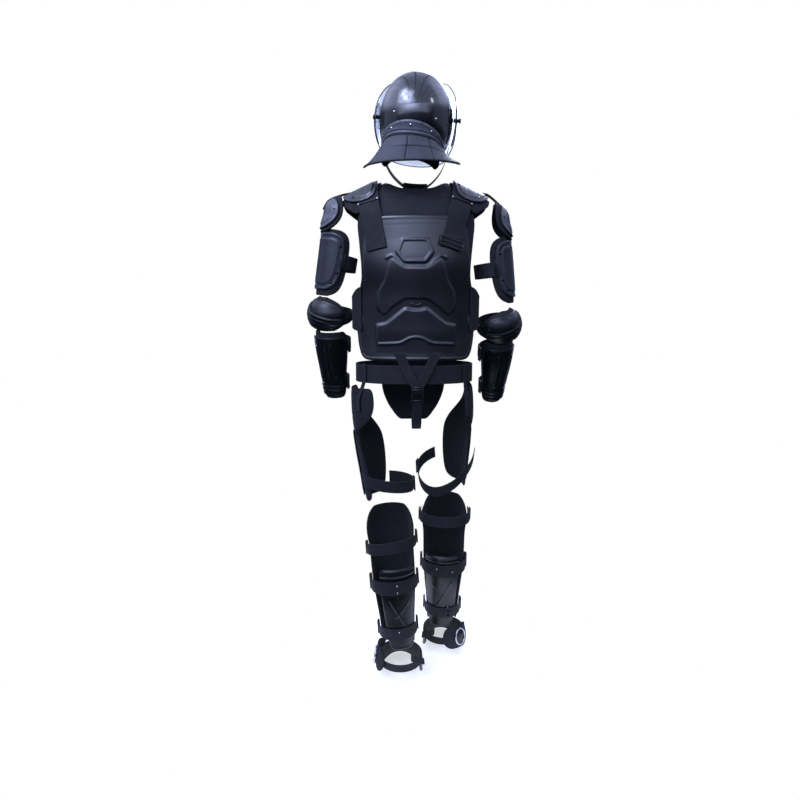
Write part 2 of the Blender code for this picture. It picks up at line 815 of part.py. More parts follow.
LEGS = (
    # name, side, hip, knee, ankle, turn of the thigh's pieces, of the calf's
    ("left", -1, (-0.100, 0.000, 0.900), (-0.080, 0.000, 0.500), (-0.049, 0.000, 0.090), 0, -15),
    ("right", 1, (0.079, 0.000, 0.900), (0.101, 0.115, 0.500), (0.098, 0.165, 0.090), 34, -10),
)
THIGH_PAD = (
    # down, rear edge, front edge
    (-0.086, 18, 112),
    (-0.030, 16, 126),
    (0.010, 28, 142),
    (0.035, 54, 154),
    (0.054, 80, 162),
    (0.080, 72, 170),
    (0.130, 56, 174),
    (0.200, 48, 174),
    (0.255, 46, 168),
    (0.270, 60, 150),
)
THIGH_PLATE = (
    (0.050, 90, 140),
    (0.066, 84, 158),
    (0.120, 80, 164),
    (0.190, 78, 164),
    (0.245, 78, 160),
    (0.262, 88, 146),
)
THIGH_STRAPS = {
    "left": (
        (74, 0.202, ON_PAD),
        (35, 0.208, ON_PAD),
        (-4, 0.216, ON_PAD),
        (-60, 0.230, ON_PAD),
        (-100, 0.234, ON_PAD + 0.006),
        (-178, 0.226, ON_PAD),
    ),
    "right": (
        (88, 0.164, ON_PAD + 0.004),
        (50, 0.194, ON_PAD),
        (10, 0.226, ON_PAD),
        (-30, 0.248, ON_PAD),
        (-75, 0.236, ON_PAD),
        (-110, 0.204, ON_PAD + 0.006),
        (-166, 0.184, ON_PAD),
    ),
}
LEG_PAD = (
    # down, rear edge on both sides
    (-0.086, 132),
    (-0.068, 110),
    (-0.045, 96),
    (-0.010, 92),
    (0.030, 96),
    (0.070, 88),
    (0.130, 78),
    (0.200, 74),
    (0.300, 74),
    (0.350, 80),
    (0.366, 92),
)
SHIN_PLATE = (
    # down, rear edge on both sides, out
    (-0.074, 150, 0.0),
    (-0.058, 134, 0.006),
    (-0.020, 126, 0.014),
    (0.020, 126, 0.010),
    (0.045, 132, 0.0),
    (0.120, 122, 0.0),
    (0.220, 120, 0.0),
    (0.320, 122, 0.0),
    (0.344, 136, 0.0),
)
CALF_PLATE = (
    # down, half angle, out
    (0.082, 40, 0.005),
    (0.094, 50, 0.002),
    (0.120, 52, 0.0),
    (0.180, 52, 0.0),
    (0.230, 52, 0.0),
    (0.280, 51, 0.0),
    (0.320, 50, 0.0),
    (0.352, 46, 0.0),
    (0.364, 34, 0.0),
)
LEG_STRAPS = {
    # name, half width, way down of its middle at its inner end, at the back and at its outer end
    "left": (
        ("knee_strap", 0.0190, 0.010, 0.014, 0.036),
        ("calf_strap_upper", 0.0225, 0.144, 0.146, 0.150),
        ("calf_strap_lower", 0.0200, 0.304, 0.309, 0.309),
    ),
    "right": (
        ("knee_strap", 0.0190, -0.034, -0.040, -0.034),
        ("calf_strap_upper", 0.0225, 0.138, 0.138, 0.138),
        ("calf_strap_lower", 0.0200, 0.304, 0.308, 0.308),
    ),
}
FOOT_GUARD = (
    # down, rear edge on both sides
    (-0.014, 92),
    (0.000, 70),
    (0.022, 58),
    (0.044, 64),
    (0.060, 96),
    (0.074, 130),
)


def leg(name, side, hip, knee, ankle, thigh_turn, calf_turn):
    """One leg's guards: thigh, knee and shin, calf and foot."""
    upper, lower = limb_place(hip, knee), limb_place(knee, ankle)
    foot_shift = Vector((max(side, 0) * 0.007, 0, 0))  # the right foot stands a little out
    foot = limb_place(Vector(ankle) + foot_shift, (ankle[0] + foot_shift.x, ankle[1], 0.0))
    thigh_form, lower_form, foot_form = (limb_form(table, side) for table in (THIGH, LOWER_LEG, FOOT))
    rows = [(down, min(rear + thigh_turn, 96), max(front, 118), 0) for down, rear, front in THIGH_PAD]
    sheet(f"thigh_pad_{name}", upper, thigh_form, rows, 8, "cloth", CLOTH)
    rows = [(down, rear + thigh_turn / 2, front, ON_THIGH) for down, rear, front in THIGH_PLATE]
    sheet(f"thigh_plate_{name}", upper, thigh_form, rows, 6, "armour", HARD)
    strap(f"thigh_strap_{name}", upper, thigh_form, THIGH_STRAPS[name], 0.019, 18)
    rows = [(down, rear, 360 - rear, 0) for down, rear in LEG_PAD]
    sheet(f"leg_pad_{name}", lower, lower_form, rows, 12, "cloth", CLOTH)
    rows = [(down, rear, 360 - rear, ON_PAD + out) for down, rear, out in SHIN_PLATE]
    sheet(f"shin_plate_{name}", lower, lower_form, rows, 8, "armour", HARD)
    rows = [(down, calf_turn - half, calf_turn + half, ON_PAD + out) for down, half, out in CALF_PLATE]
    sheet(f"calf_plate_{name}", lower, lower_form, rows, 8, "armour", HARD)
    for part, half_width, inner, back, outer in LEG_STRAPS[name]:
        route = [(-108, inner, ON_PLATE), (0, back, ON_PLATE), (108, outer, ON_PLATE)]
        strap(f"{part}_{name}", lower, lower_form, route, half_width, 14)
    rows = [(down, rear, 360 - rear, ON_PAD) for down, rear in FOOT_GUARD]
    sheet(f"foot_guard_{name}", foot, foot_form, rows, 12, "armour", 0.004)


# ---- the suit

for old in list(bpy.data.objects):
    bpy.data.objects.remove(old, do_unlink=True)

SUIT = bpy.data.collections.new("riot_suit")
CUTTERS = bpy.data.collections.new("cutters")
bpy.context.scene.collection.children.link(SUIT)
bpy.context.scene.collection.children.link(CUTTERS)

VEST = place_for(Matrix.Translation((0, 0, -SHOULDER_HEIGHT)))
HEAD_FRAME = Matrix.Translation(Vector(HEAD_CENTRE) - Vector((0, 0, SHOULDER_HEIGHT)))
HEAD_FRAME = HEAD_FRAME @ (LEANING @ TURNED).to_4x4()
HEAD = place_for(HEAD_FRAME)
PIVOT = place_for(HEAD_FRAME @ Matrix.Translation((0, 0, PIVOT_UP)))
ACROSS = Matrix.Rotation(math.radians(90), 4, "Y")
ACROSS_LEFT = Matrix.Rotation(math.radians(-90), 4, "Y")

vest_panel("back_panel", -1, 1.538)
vest_panel("chest_panel", 1, 1.500)
vest_plate("back_plate", -1)
vest_plate("chest_plate", 1)
for end, hand in (("left", -1), ("right", 1)):
    shoulder(end, hand)
    side_strap("side_strap_" + end, hand)
helmet_shell()
helmet_trim()
visor()
for values in ARMS:
    arm(*values)
waist_belt()
groin_pieces()
for values in LEGS:
    leg(*values)
bpy.context.view_layer.update()
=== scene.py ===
"""The riot suit as it is worn, every piece finished: moulded plates, sewn pads, woven webbing, fittings.

It repeats the forms that the CAD model lays its pieces on. The wearer faces +Y and the wearer's right is +X.
Heights in the tables are above the line of the heels. Angles round a limb run from its back to its outer side.
"""

import math
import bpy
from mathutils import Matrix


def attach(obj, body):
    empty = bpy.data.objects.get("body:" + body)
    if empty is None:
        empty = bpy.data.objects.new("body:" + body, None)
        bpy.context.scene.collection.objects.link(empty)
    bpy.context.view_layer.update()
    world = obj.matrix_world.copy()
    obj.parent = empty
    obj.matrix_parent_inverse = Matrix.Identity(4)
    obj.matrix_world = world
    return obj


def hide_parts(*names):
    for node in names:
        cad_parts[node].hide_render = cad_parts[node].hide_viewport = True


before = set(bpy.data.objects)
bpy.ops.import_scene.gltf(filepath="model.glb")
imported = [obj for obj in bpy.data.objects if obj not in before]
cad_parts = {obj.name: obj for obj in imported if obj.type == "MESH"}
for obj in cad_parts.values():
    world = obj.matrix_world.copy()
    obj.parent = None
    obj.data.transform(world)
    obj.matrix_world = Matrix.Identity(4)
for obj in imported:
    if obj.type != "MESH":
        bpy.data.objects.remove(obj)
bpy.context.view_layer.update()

from types import SimpleNamespace

import bmesh
import bpy
import numpy as np
from mathutils import Matrix, Vector
from mathutils.kdtree import KDTree

# ---- sizes, in metres, as in the CAD model
SHOULDER_HEIGHT = 1.550
CLOTH = 0.006  # padded cloth
HARD = 0.003  # moulded plate
WEBBING = 0.002
THIN_WEBBING = 0.0018
THICK_WEBBING = 0.0022
LAYER = 0.002
ON_PAD = CLOTH + LAYER
ON_PLATE = ON_PAD + HARD + LAYER
ON_TWO_PADS = ON_PAD + CLOTH + LAYER
ON_STRAP = ON_TWO_PADS + WEBBING + LAYER
ON_ARM = ON_THIGH = ON_PAD + 0.001
NUDGE = 0.002  # a short step off a form, to find which way it faces

BLADE_HEIGHT = 1.450
TURN = 0.150
SHOULDER_LINE = BLADE_HEIGHT + TURN
VEST_SHIFT = -0.004
NECK_SIDE = 0.088
NECK_HEIGHT = 1.580
SHOULDER_FALL = 0.45
TORSO = (
    # height, back, front, sweep of the sides
    (1.060, 0.120, 0.128, 0.056),
    (1.150, 0.118, 0.128, 0.058),
    (1.250, 0.123, 0.134, 0.062),
    (1.350, 0.132, 0.140, 0.060),
    (1.450, 0.122, 0.128, 0.050),
)
SWEEP_AT = 0.170
SWEEP_POWER = 2.2

HEAD_CENTRE = (-0.002, 0.010, 1.762)
HEAD_TURN = -8.0
HEAD_LEAN = 5.0
HEAD_POWER = 0.80
SHELL_RADII = (0.108, 0.136, 0.127)
SHELL_WALL = 0.004
VISOR_RADII = (0.1205, 0.160, 0.136)
VISOR_WALL = 0.003
PIVOT_UP = 0.010
PIVOT_RADIUS = 0.0045
HEM_RADII = (0.144, 0.186)
HEM_SHIFT = -0.008
HEM_DOWN = -0.151
HEM_RISE = 0.024
RIM = (
    # angle from the back, polar angle of the shell's lower edge
    (0.0, 118.0),
    (60.0, 121.0),
    (90.0, 132.0),
    (108.0, 136.0),
    (124.0, 114.0),
    (140.0, 86.0),
    (160.0, 75.0),
    (180.0, 72.0),
)

UPPER_ARM = (
    # down, width, back, front
    (-0.055, 0.022, 0.022, 0.022),
    (-0.045, 0.035, 0.035, 0.035),
    (-0.025, 0.046, 0.047, 0.047),
    (0.010, 0.050, 0.052, 0.052),
    (0.100, 0.048, 0.050, 0.048),
    (0.250, 0.046, 0.046, 0.046),
)
ELBOW = (
    (-0.050, 0.024, 0.024, 0.020),
    (-0.038, 0.042, 0.040, 0.036),
    (-0.018, 0.055, 0.053, 0.046),
    (0.004, 0.058, 0.057, 0.048),
    (0.024, 0.053, 0.053, 0.045),
    (0.042, 0.040, 0.040, 0.036),
)
FOREARM = (
    (0.040, 0.044, 0.044, 0.044),
    (0.100, 0.043, 0.045, 0.043),
    (0.190, 0.033, 0.035, 0.033),
    (0.275, 0.027, 0.029, 0.027),
)
THIGH = (
    (-0.100, 0.090, 0.100, 0.098),
    (0.000, 0.092, 0.100, 0.098),
    (0.100, 0.083, 0.088, 0.088),
    (0.200, 0.071, 0.075, 0.076),
    (0.300, 0.062, 0.065, 0.066),
)
LOWER_LEG = (
    (-0.090, 0.062, 0.060, 0.064),
    (-0.030, 0.070, 0.062, 0.074),
    (0.040, 0.065, 0.062, 0.068),
    (0.110, 0.063, 0.066, 0.058),
    (0.160, 0.061, 0.064, 0.056),
    (0.270, 0.051, 0.050, 0.048),
    (0.390, 0.044, 0.044, 0.046),
)
FOOT = (
    (-0.020, 0.057, 0.048, 0.058),
    (0.010, 0.062, 0.050, 0.070),
    (0.045, 0.062, 0.052, 0.100),
    (0.075, 0.060, 0.052, 0.135),
)

# ---- forms: each turns places across, places along and distances out into points


def section(table, key):
    """The other columns of a table, on smooth curves through its rows and level beyond its ends."""
    rows = np.array(table, float)
    keys = rows[:, 0]
    key = np.clip(np.asarray(key, float), keys[0], keys[-1])
    slopes = np.gradient(rows, keys, axis=0)
    low = np.clip(np.searchsorted(keys, key, side="right") - 1, 0, len(keys) - 2)
    span = (keys[low + 1] - keys[low])[..., None]
    t = (key - keys[low])[..., None] / span
    before = (2 * t**3 - 3 * t**2 + 1) * rows[low] + (t**3 - 2 * t**2 + t) * span * slopes[low]
    after = (3 * t**2 - 2 * t**3) * rows[low + 1] + (t**3 - t**2) * span * slopes[low + 1]
    return np.moveaxis((before + after)[..., 1:], -1, 0)


def unit(vectors):
    return vectors / np.maximum(np.linalg.norm(vectors, axis=-1, keepdims=True), 1e-9)


def moved(points, place):
    return points @ place[:3, :3].T + place[:3, 3]


def at(form, *place):
    """One point of a form."""
    return form(*(np.array([float(value)]) for value in place))[0]


def on_form(form, across, way, out):
    """A grid of points on a form, and where its outer side lies from each of them."""
    base = form(across, way, out)
    return base, form(across, way, out + NUDGE) - base


def limb_place(top, bottom):
    """The frame of a limb whose axis runs between two points, with +Y forward."""
    top, bottom = np.array(top, float), np.array(bottom, float)
    axis = unit(top - bottom)
    forward = unit(np.cross(axis, (1.0, 0.0, 0.0)))
    place = np.eye(4)
    place[:3, :3] = np.stack([np.cross(forward, axis), forward, axis], axis=1)
    place[:3, 3] = top - (0, 0, SHOULDER_HEIGHT)
    return place


def limb_form(table, side, place):
    """Points on a limb: across is an angle, along is the way down its axis."""

    def form(angle, down, out):
        width, back, front = section(table, down)
        turn = np.radians(angle)
        depth = np.where(np.cos(turn) > 0, back, front)
        x = side * (width + out) * np.sin(turn)
        return moved(np.stack([x, -(depth + out) * np.cos(turn), -down + 0 * x], axis=-1), place)

    return form


def torso_base(x, way):
    over = (way - BLADE_HEIGHT) / TURN
    height = np.where(over < 0, way, 2 * SHOULDER_LINE - way)
    back, front, sweep = section(TORSO, np.minimum(height, BLADE_HEIGHT))
    drawn_in = sweep * (np.abs(x) / SWEEP_AT) ** SWEEP_POWER
    turn = np.radians(90 * np.clip(over, 0, 2))
    depth = np.where(over < 1, back, front)
    shoulder = NECK_HEIGHT - SHOULDER_FALL * np.maximum(np.abs(x) - NECK_SIDE, 0)
    bent = BLADE_HEIGHT + (shoulder - BLADE_HEIGHT) * np.sin(turn)
    z = np.where((over >= 0) & (over <= 2), bent, height) - SHOULDER_HEIGHT
    return np.stack([x + VEST_SHIFT, (drawn_in - depth) * np.cos(turn), z], axis=-1)


def torso_form(x, way, out):
    """The torso: way is a height on the back, and runs on over the shoulder and down the front."""
    x, way, out = np.broadcast_arrays(*(np.asarray(value, float) for value in (x, way, out)))
    across = torso_base(x + NUDGE, way) - torso_base(x - NUDGE, way)
    along = torso_base(x, way + NUDGE) - torso_base(x, way - NUDGE)
    return torso_base(x, way) + out[..., None] * unit(np.cross(across, along))


def down_front(height):
    return 2 * SHOULDER_LINE - height


TURNED = Matrix.Rotation(math.radians(HEAD_TURN), 3, "Z")
LEANING = Matrix.Rotation(math.radians(HEAD_LEAN), 3, "Y")
UPRIGHT = np.array(TURNED.inverted() @ LEANING.inverted() @ TURNED)
HEAD = np.eye(4)
HEAD[:3, :3] = np.array(LEANING @ TURNED)
HEAD[:3, 3] = np.array(HEAD_CENTRE) - (0, 0, SHOULDER_HEIGHT)


def head_form(radii, place=HEAD):
    """Points on the head: across is an angle from the back, along is the polar angle from the crown."""

    def form(angle, polar, out):
        flat = np.sin(np.radians(polar)) ** HEAD_POWER
        turn = np.radians(angle)
        x = (radii[0] + out) * flat * np.sin(turn)
        y = -(radii[1] + out) * flat * np.cos(turn)
        return moved(np.stack([x, y, (radii[2] + out) * np.cos(np.radians(polar)) + 0 * x], axis=-1), place)

    return form


shell_form, visor_form = head_form(SHELL_RADII), head_form(VISOR_RADII)


def droop(angle):
    """How far the band and the apron's top run down towards the ears, as a polar angle."""
    return 18.0 * (1 - np.exp(-np.abs(np.asarray(angle) / 74.0) ** 3.6))


def band_form(angle, polar, out):
    """The rear band, whose upper edge comes down to its lower edge towards the ears."""
    upper = np.clip((118.0 - polar) / 13.0, 0, 1) * (1 - np.exp(-np.square(np.asarray(angle) / 50.0)))
    return shell_form(angle, polar + droop(angle) + 9.0 * upper, out)


def neck_guard_form(angle, way, out):
    """The apron: from the band's lower edge it flares, a little hollow, to its hem."""
    top = head_form(SHELL_RADII, np.eye(4))(angle, 120.5 + droop(angle), LAYER + out)
    turn = np.radians(angle)
    away = np.stack([np.sin(turn), -np.cos(turn), 0 * turn], axis=-1)
    height = HEM_DOWN + HEM_RISE * (angle / 90) ** 2
    hem = away * (HEM_RADII[0], HEM_RADII[1], 0) + away * np.asarray(out)[..., None] + (HEM_SHIFT, 0, 0)
    hem[..., 2] = height
    hem = hem @ UPRIGHT.T
    flat = (0.78 * way + 0.22 * way * way)[..., None] * (1, 1, 0) + way[..., None] * (0, 0, 1)
    return moved(top + (hem - top) * flat, HEAD)


HIP_SHIFT = -0.007
HIP_HALF_WIDTH = 0.176
HIP_DEPTH = 0.126
HIP_POWER = 0.86
BELT_HEIGHT = 1.030
BELT_HALF = 0.027


def hip_form(angle, height, out):
    """The hips, which are a little squarer than an ellipse."""
    sine, cosine = np.sin(np.radians(angle)), np.cos(np.radians(angle))
    x = HIP_SHIFT + (HIP_HALF_WIDTH + out) * np.sign(sine) * np.abs(sine) ** HIP_POWER
    y = -(HIP_DEPTH + out) * np.sign(cosine) * np.abs(cosine) ** HIP_POWER
    return np.stack([x, y, height - SHOULDER_HEIGHT + 0 * x], axis=-1)


GROIN_WAY = (
    # way, forward, height
    (0.000, -0.1440, 1.096),
    (0.050, -0.1400, 1.050),
    (0.110, -0.1360, 0.990),
    (0.165, -0.1260, 0.936),
    (0.215, -0.1000, 0.887),
    (0.260, -0.0600, 0.864),
    (0.320, 0.0000, 0.856),
    (0.370, 0.0480, 0.868),
    (0.400, 0.0720, 0.886),
)


def groin_form(x, way, out):
    """The path from the back plate, between the legs, to the groin guard."""
    forward, height = section(GROIN_WAY, way)
    ahead, behind = section(GROIN_WAY, way + NUDGE), section(GROIN_WAY, way - NUDGE)
    along = unit(np.stack([0 * forward, ahead[0] - behind[0], ahead[1] - behind[1]], axis=-1))
    away = np.stack([0 * forward, along[..., 2], -along[..., 1]], axis=-1)
    base = np.stack([x + 0 * forward, forward, height - SHOULDER_HEIGHT], axis=-1)
    return base + np.asarray(out)[..., None] * away


# ---- lines and raised shapes on a surface, in metres across and along it


def softened(line, rounds=2, closed=False):
    """A line with its corners cut round."""
    line = np.array(line, float)
    for _ in range(rounds):
        following = np.roll(line, -1, axis=0) if closed else line[1:]
        first = line if closed else line[:-1]
        cut = np.stack([0.75 * first + 0.25 * following, 0.25 * first + 0.75 * following], axis=1)
        cut = cut.reshape(-1, line.shape[1])
        line = cut if closed else np.concatenate([line[:1], cut[1:-1], line[-1:]])
    return line


def eased(line, radius, closed=False):
    """A line with its corners rounded, each no further than a radius from the corner."""
    line = np.array(line, float)
    if closed:
        before, after, middle = np.roll(line, 1, axis=0), np.roll(line, -1, axis=0), line
    else:
        before, after, middle = line[:-2], line[2:], line[1:-1]
    points = []
    for first, corner, last in zip(before, middle, after):
        back, on = first - corner, last - corner
        start = corner + back * min(0.5, radius / np.linalg.norm(back))
        end = corner + on * min(0.5, radius / np.linalg.norm(on))
        for t in (0.0, 0.25, 0.5, 0.75, 1.0):
            points.append((1 - t) ** 2 * start + 2 * t * (1 - t) * corner + t**2 * end)
    return np.array(points) if closed else np.array([line[0], *points, line[-1]])


def apart_from(x, y, line):
    """How far each point is from a line of straight stretches."""
    nearest = np.full(np.shape(x), np.inf)
    for (x0, y0), (x1, y1) in zip(line[:-1], line[1:]):
        dx, dy = x1 - x0, y1 - y0
        t = np.clip(((x - x0) * dx + (y - y0) * dy) / max(dx * dx + dy * dy, 1e-12), 0, 1)
        nearest = np.minimum(nearest, np.hypot(x - x0 - t * dx, y - y0 - t * dy))
    return nearest


def bead(apart, half_width, height):
    """A rounded ridge, or with a negative height a groove."""
    return height * np.clip(1 - (apart / half_width) ** 2, 0, 1) ** 2


def ramped(value, start, end):
    """A smooth rise from 0 at start to 1 at end."""
    t = np.clip((value - start) / (end - start), 0, 1)
    return t * t * (3 - 2 * t)


def raised(x, y, corners, slope, height):
    """A raised panel with bevelled sides."""
    corners = np.array(corners)
    loop = np.concatenate([corners, corners[:1]])
    inside = np.zeros(np.shape(x), bool)
    for (x0, y0), (x1, y1) in zip(loop[:-1], loop[1:]):
        if y0 != y1:
            inside ^= ((y0 > y) != (y1 > y)) & (x < (x1 - x0) * (y - y0) / (y1 - y0) + x0)
    return height * ramped(np.where(inside, apart_from(x, y, loop), 0), 0, slope)


def mirrored(line):
    """A line given for the right side, continued to the left."""
    return [(-x, y) for x, y in reversed(line)] + list(line)


def run_along(path):
    """How far along a path each of its points lies."""
    return np.concatenate([[0.0], np.cumsum(np.linalg.norm(np.diff(path, axis=0), axis=1))])


def read(table, places, keys):
    """The columns of a table at places between its keys."""
    return np.stack([np.interp(places, keys, column) for column in table.T], axis=1)


def blurred(values, times):
    """Each value averaged with its neighbours along the first axis, with the ends held."""
    for _ in range(times):
        padded = np.concatenate([values[:1], values, values[-1:]])
        values = (padded[:-2] + 2 * padded[1:-1] + padded[2:]) / 4
    return values


# ---- making skins

EDGE_STEPS = np.array((0.0, 0.0004, 0.0010, 0.0018, 0.0028, 0.0042, 0.0060))
STITCH_RING = 5  # the line of a skin's grid that a hem's stitches follow, 4.2 mm in


def stations(length, spacing):
    """Fractions along a length, close together at both ends, where the edge is rounded."""
    edge = EDGE_STEPS * min(1.0, length / 0.020)
    count = max(int(round((length - 2 * edge[-1]) / spacing)), 2)
    middle = np.linspace(edge[-1], length - edge[-1], count + 1)
    return np.concatenate([edge[:-1], middle, length - edge[-2::-1]]) / length


def facings(base, toward, ring):
    """Unit vectors square to a grid of points, on the side that toward points to."""
    if ring:
        wrapped = np.concatenate([base[:, -1:], base, base[:, :1]], axis=1)
        across = wrapped[:, 2:] - wrapped[:, :-2]
    else:
        across = np.gradient(base, axis=1)
    facing = unit(np.cross(np.gradient(base, axis=0), across))
    return facing if np.sum(facing * toward) > 0 else -facing


def border_distance(base, ring):
    """How far each point of a grid is from the grid's border."""
    borders = [base[0], base[-1]] + ([] if ring else [base[:, 0], base[:, -1]])
    near = []
    for line in borders:
        line = np.concatenate([line, line[:1]]) if ring else line
        for share in np.arange(0, 1, 0.25):
            near.append(line[:-1] + share * (line[1:] - line[:-1]))
        near.append(line[-1:])
    near = np.concatenate(near).tolist()
    tree = KDTree(len(near))
    for index, point in enumerate(near):
        tree.insert(point, index)
    tree.balance()
    return np.array([tree.find(point)[2] for point in base.reshape(-1, 3).tolist()]).reshape(base.shape[:2])


def new_mesh(name, points, faces, uv=None, marks=None, kinds=None):
    """A smooth mesh from its points and faces."""
    data = bpy.data.meshes.new(name)
    data.from_pydata(points.tolist(), [], faces)
    if uv is not None:
        corners = np.empty(len(data.loops), np.int64)
        data.loops.foreach_get("vertex_index", corners)
        data.uv_layers.new(name="cut").data.foreach_set("uv", uv[corners].astype(np.float32).ravel())
    for label, values in (marks or {}).items():
        attribute = data.attributes.new(label, "FLOAT", "POINT")
        attribute.data.foreach_set("value", values.astype(np.float32))
    if kinds is not None:
        data.polygons.foreach_set("material_index", np.asarray(kinds, np.int32))
    data.shade_smooth()
    return data


def wrapped_index(rows, columns):
    """The numbers of a grid's points, with the first column again after the last."""
    index = np.arange(rows * columns).reshape(rows, columns)
    return np.concatenate([index, index[:, :1]], axis=1)


def quads(index):
    """The four corners of each face between a grid's points."""
    return np.stack([index[:-1, :-1], index[1:, :-1], index[1:, 1:], index[:-1, 1:]], axis=-1).reshape(-1, 4)


def mended(data, merge=0.0):
    """Joins the points of a mesh that lie together, and turns its faces outward."""
    whole = bmesh.new()
    whole.from_mesh(data)
    if merge:
        bmesh.ops.remove_doubles(whole, verts=whole.verts, dist=merge)
    bmesh.ops.recalc_face_normals(whole, faces=whole.faces)
    whole.to_mesh(data)
    whole.free()
    return data


def linked(name, data, materials):
    piece = bpy.data.objects.new(name, data)
    bpy.context.scene.collection.objects.link(piece)
    for material in materials:
        data.materials.append(material)
    return piece


def kept_lines(count, stride, open_ended):
    """Which lines of a grid a side keeps: all in its rounded edges, and every so many between."""
    edge = 0 if open_ended else min(len(EDGE_STEPS), count)
    return sorted({*range(edge), *range(edge, count - edge, stride), *range(count - max(edge, 1), count)})


def patches(index, stride, ring):
    """Faces between the kept lines of a grid, which still meet every point of its border."""
    rows, columns = index.tolist(), index.T.tolist()
    downs, acrosses = kept_lines(len(rows), stride, False), kept_lines(len(columns), stride, ring)

    def stretch(line, start, end, whole):
        return line[start : end + 1] if whole else [line[start], line[end]]

    for top, bottom in zip(downs, downs[1:]):
        for left, right in zip(acrosses, acrosses[1:]):
            face = stretch(columns[left], top, bottom, left == 0 and not ring)
            face = face + stretch(rows[bottom], left, right, bottom == len(rows) - 1)
            face = face + stretch(columns[right], top, bottom, right == len(columns) - 1 and not ring)[::-1]
            yield face + stretch(rows[top], left, right, top == 0)[::-1]


INNER_STRIDE = 3  # away from its edges an inner side keeps one line in three
CREST_RUB_AND_HIGHLIGHT_HEIGHT = 0.0005  # how far a crest stands over what surrounds it where it is drawn palest, as rubbed wear and a painted highlight


def skin(
    name, base, toward, across, way, lower, upper, materials, ring=False, pole=False, relief=None,
    stride=INNER_STRIDE,
):
    """A closed skin over a grid of points, whose outer and inner faces meet along its border."""
    facing = facings(base, toward, ring)
    if pole:
        facing[0] = unit(facing[1].mean(axis=0))
    outer = base + facing * upper[..., None]
    inner = base + facing * lower[..., None]
    rows, columns = base.shape[:2]
    top = np.arange(rows * columns).reshape(rows, columns)
    under = top + rows * columns
    borders = [(-1, slice(None))] if pole else [(0, slice(None)), (-1, slice(None))]
    if not ring:
        borders += [(slice(None), 0), (slice(None), -1)]
    for border in borders:
        under[border] = top[border]
    if pole:
        top[0], under[0] = top[0, 0], under[0, 0]
    if ring:
        top, under = (np.concatenate([index, index[:, :1]], axis=1) for index in (top, under))
    ends = (-1,) if pole else (0, -1)
    cut_off = set() if ring else {int(top[row, column]) for row in ends for column in (0, -1)}
    faces, kinds = [], []
    middle = (rows // 2, columns // 2)
    turn = np.dot(
        np.cross(base[middle[0], middle[1] - 1] - base[middle], base[middle[0] - 1, middle[1]] - base[middle]),
        facing[middle],
    )
    for kind, index in enumerate((top, under)):
        for face in patches(index, stride if kind else 1, ring):
            corners = [corner for corner in dict.fromkeys(face) if corner not in cut_off]
            if len(corners) > 2:
                faces.append(corners[::-1] if (turn > 0) == (kind == 0) else corners)
                kinds.append(min(kind, len(materials) - 1))
    used, order = np.unique(np.concatenate([np.array(face) for face in faces]), return_inverse=True)
    compact, start = [], 0
    for face in faces:
        compact.append(order[start : start + len(face)].tolist())
        start += len(face)
    points = np.concatenate([outer.reshape(-1, 3), inner.reshape(-1, 3)])[used]
    distance = border_distance(base, ring) if not pole else np.broadcast_to(1.0, base.shape[:2])
    uv = np.stack([across, way], axis=-1).reshape(-1, 2)
    # crests of the relief, which the plates' finish draws paler: rubbed wear and a painted highlight along
    # each ridge
    crest_rub_and_highlight = np.zeros(base.shape[:2])
    if relief is not None:
        crest_rub_and_highlight = np.clip((relief - blurred(blurred(relief, 3).T, 3).T) / CREST_RUB_AND_HIGHLIGHT_HEIGHT, 0, 1)
    marks = {"edge": np.tile(distance.ravel(), 2)[used], "crest_rub_and_highlight": np.tile(crest_rub_and_highlight.ravel(), 2)[used]}
    data = new_mesh(name, points, compact, np.tile(uv, (2, 1))[used], marks, kinds)
    piece = linked(name, data, materials)
    return SimpleNamespace(piece=piece, outer=outer, facing=facing, across=across, way=way, edge=distance)


def rolled(distance, wall, reach):
    """The lower and upper height of a wall whose edge is rounded over its reach."""
    fullness = np.sqrt(1 - (1 - np.clip(distance / reach, 0, 1)) ** 2)
    half = wall / 2
    return half - half * fullness, half + half * fullness


END_SHARE = 0.12  # how much of an end edge takes part in rounding its corners


def closer(values, steps, largest):
    """Places at which to read a list of values so that no step between them is too large."""
    parts = np.maximum(np.ceil(steps / largest), 1).astype(int)
    places = [start + np.arange(count) / count for start, count in enumerate(parts)]
    return np.append(np.concatenate(places), len(values) - 1), np.arange(len(values)), values


def outline(rows, rounds):
    """The two sides of a piece as lines of way and place across, with its corners cut round."""
    table = np.array(rows, float)
    ends = table[[0, -1]]
    inset = END_SHARE * (ends[:, 2] - ends[:, 1])
    corners = np.stack([ends[:, 0], ends[:, 1] + inset, ends[:, 2] - inset], axis=1)
    table = np.concatenate([corners[:1], table[:, :3], corners[1:]])
    line = np.concatenate([table[:, [0, 1]], table[::-1][:, [0, 2]]])
    near = np.arange(len(line)) < len(table)
    for _ in range(rounds):
        following = np.roll(line, -1, axis=0)
        cut = [0.75 * line + 0.25 * following, 0.25 * line + 0.75 * following]
        line = np.stack(cut, axis=1).reshape(-1, 2)
        near = np.stack([near, np.roll(near, -1)], axis=1).ravel()
    sides = []
    for part, outermost in ((line[near], min), (line[~near], max)):
        ways = np.unique(part[:, 0].round(8))
        across = [outermost(part[np.abs(part[:, 0] - way) < 1e-7, 1]) for way in ways]
        sides.append(np.stack([ways, across], axis=1))
    return sides


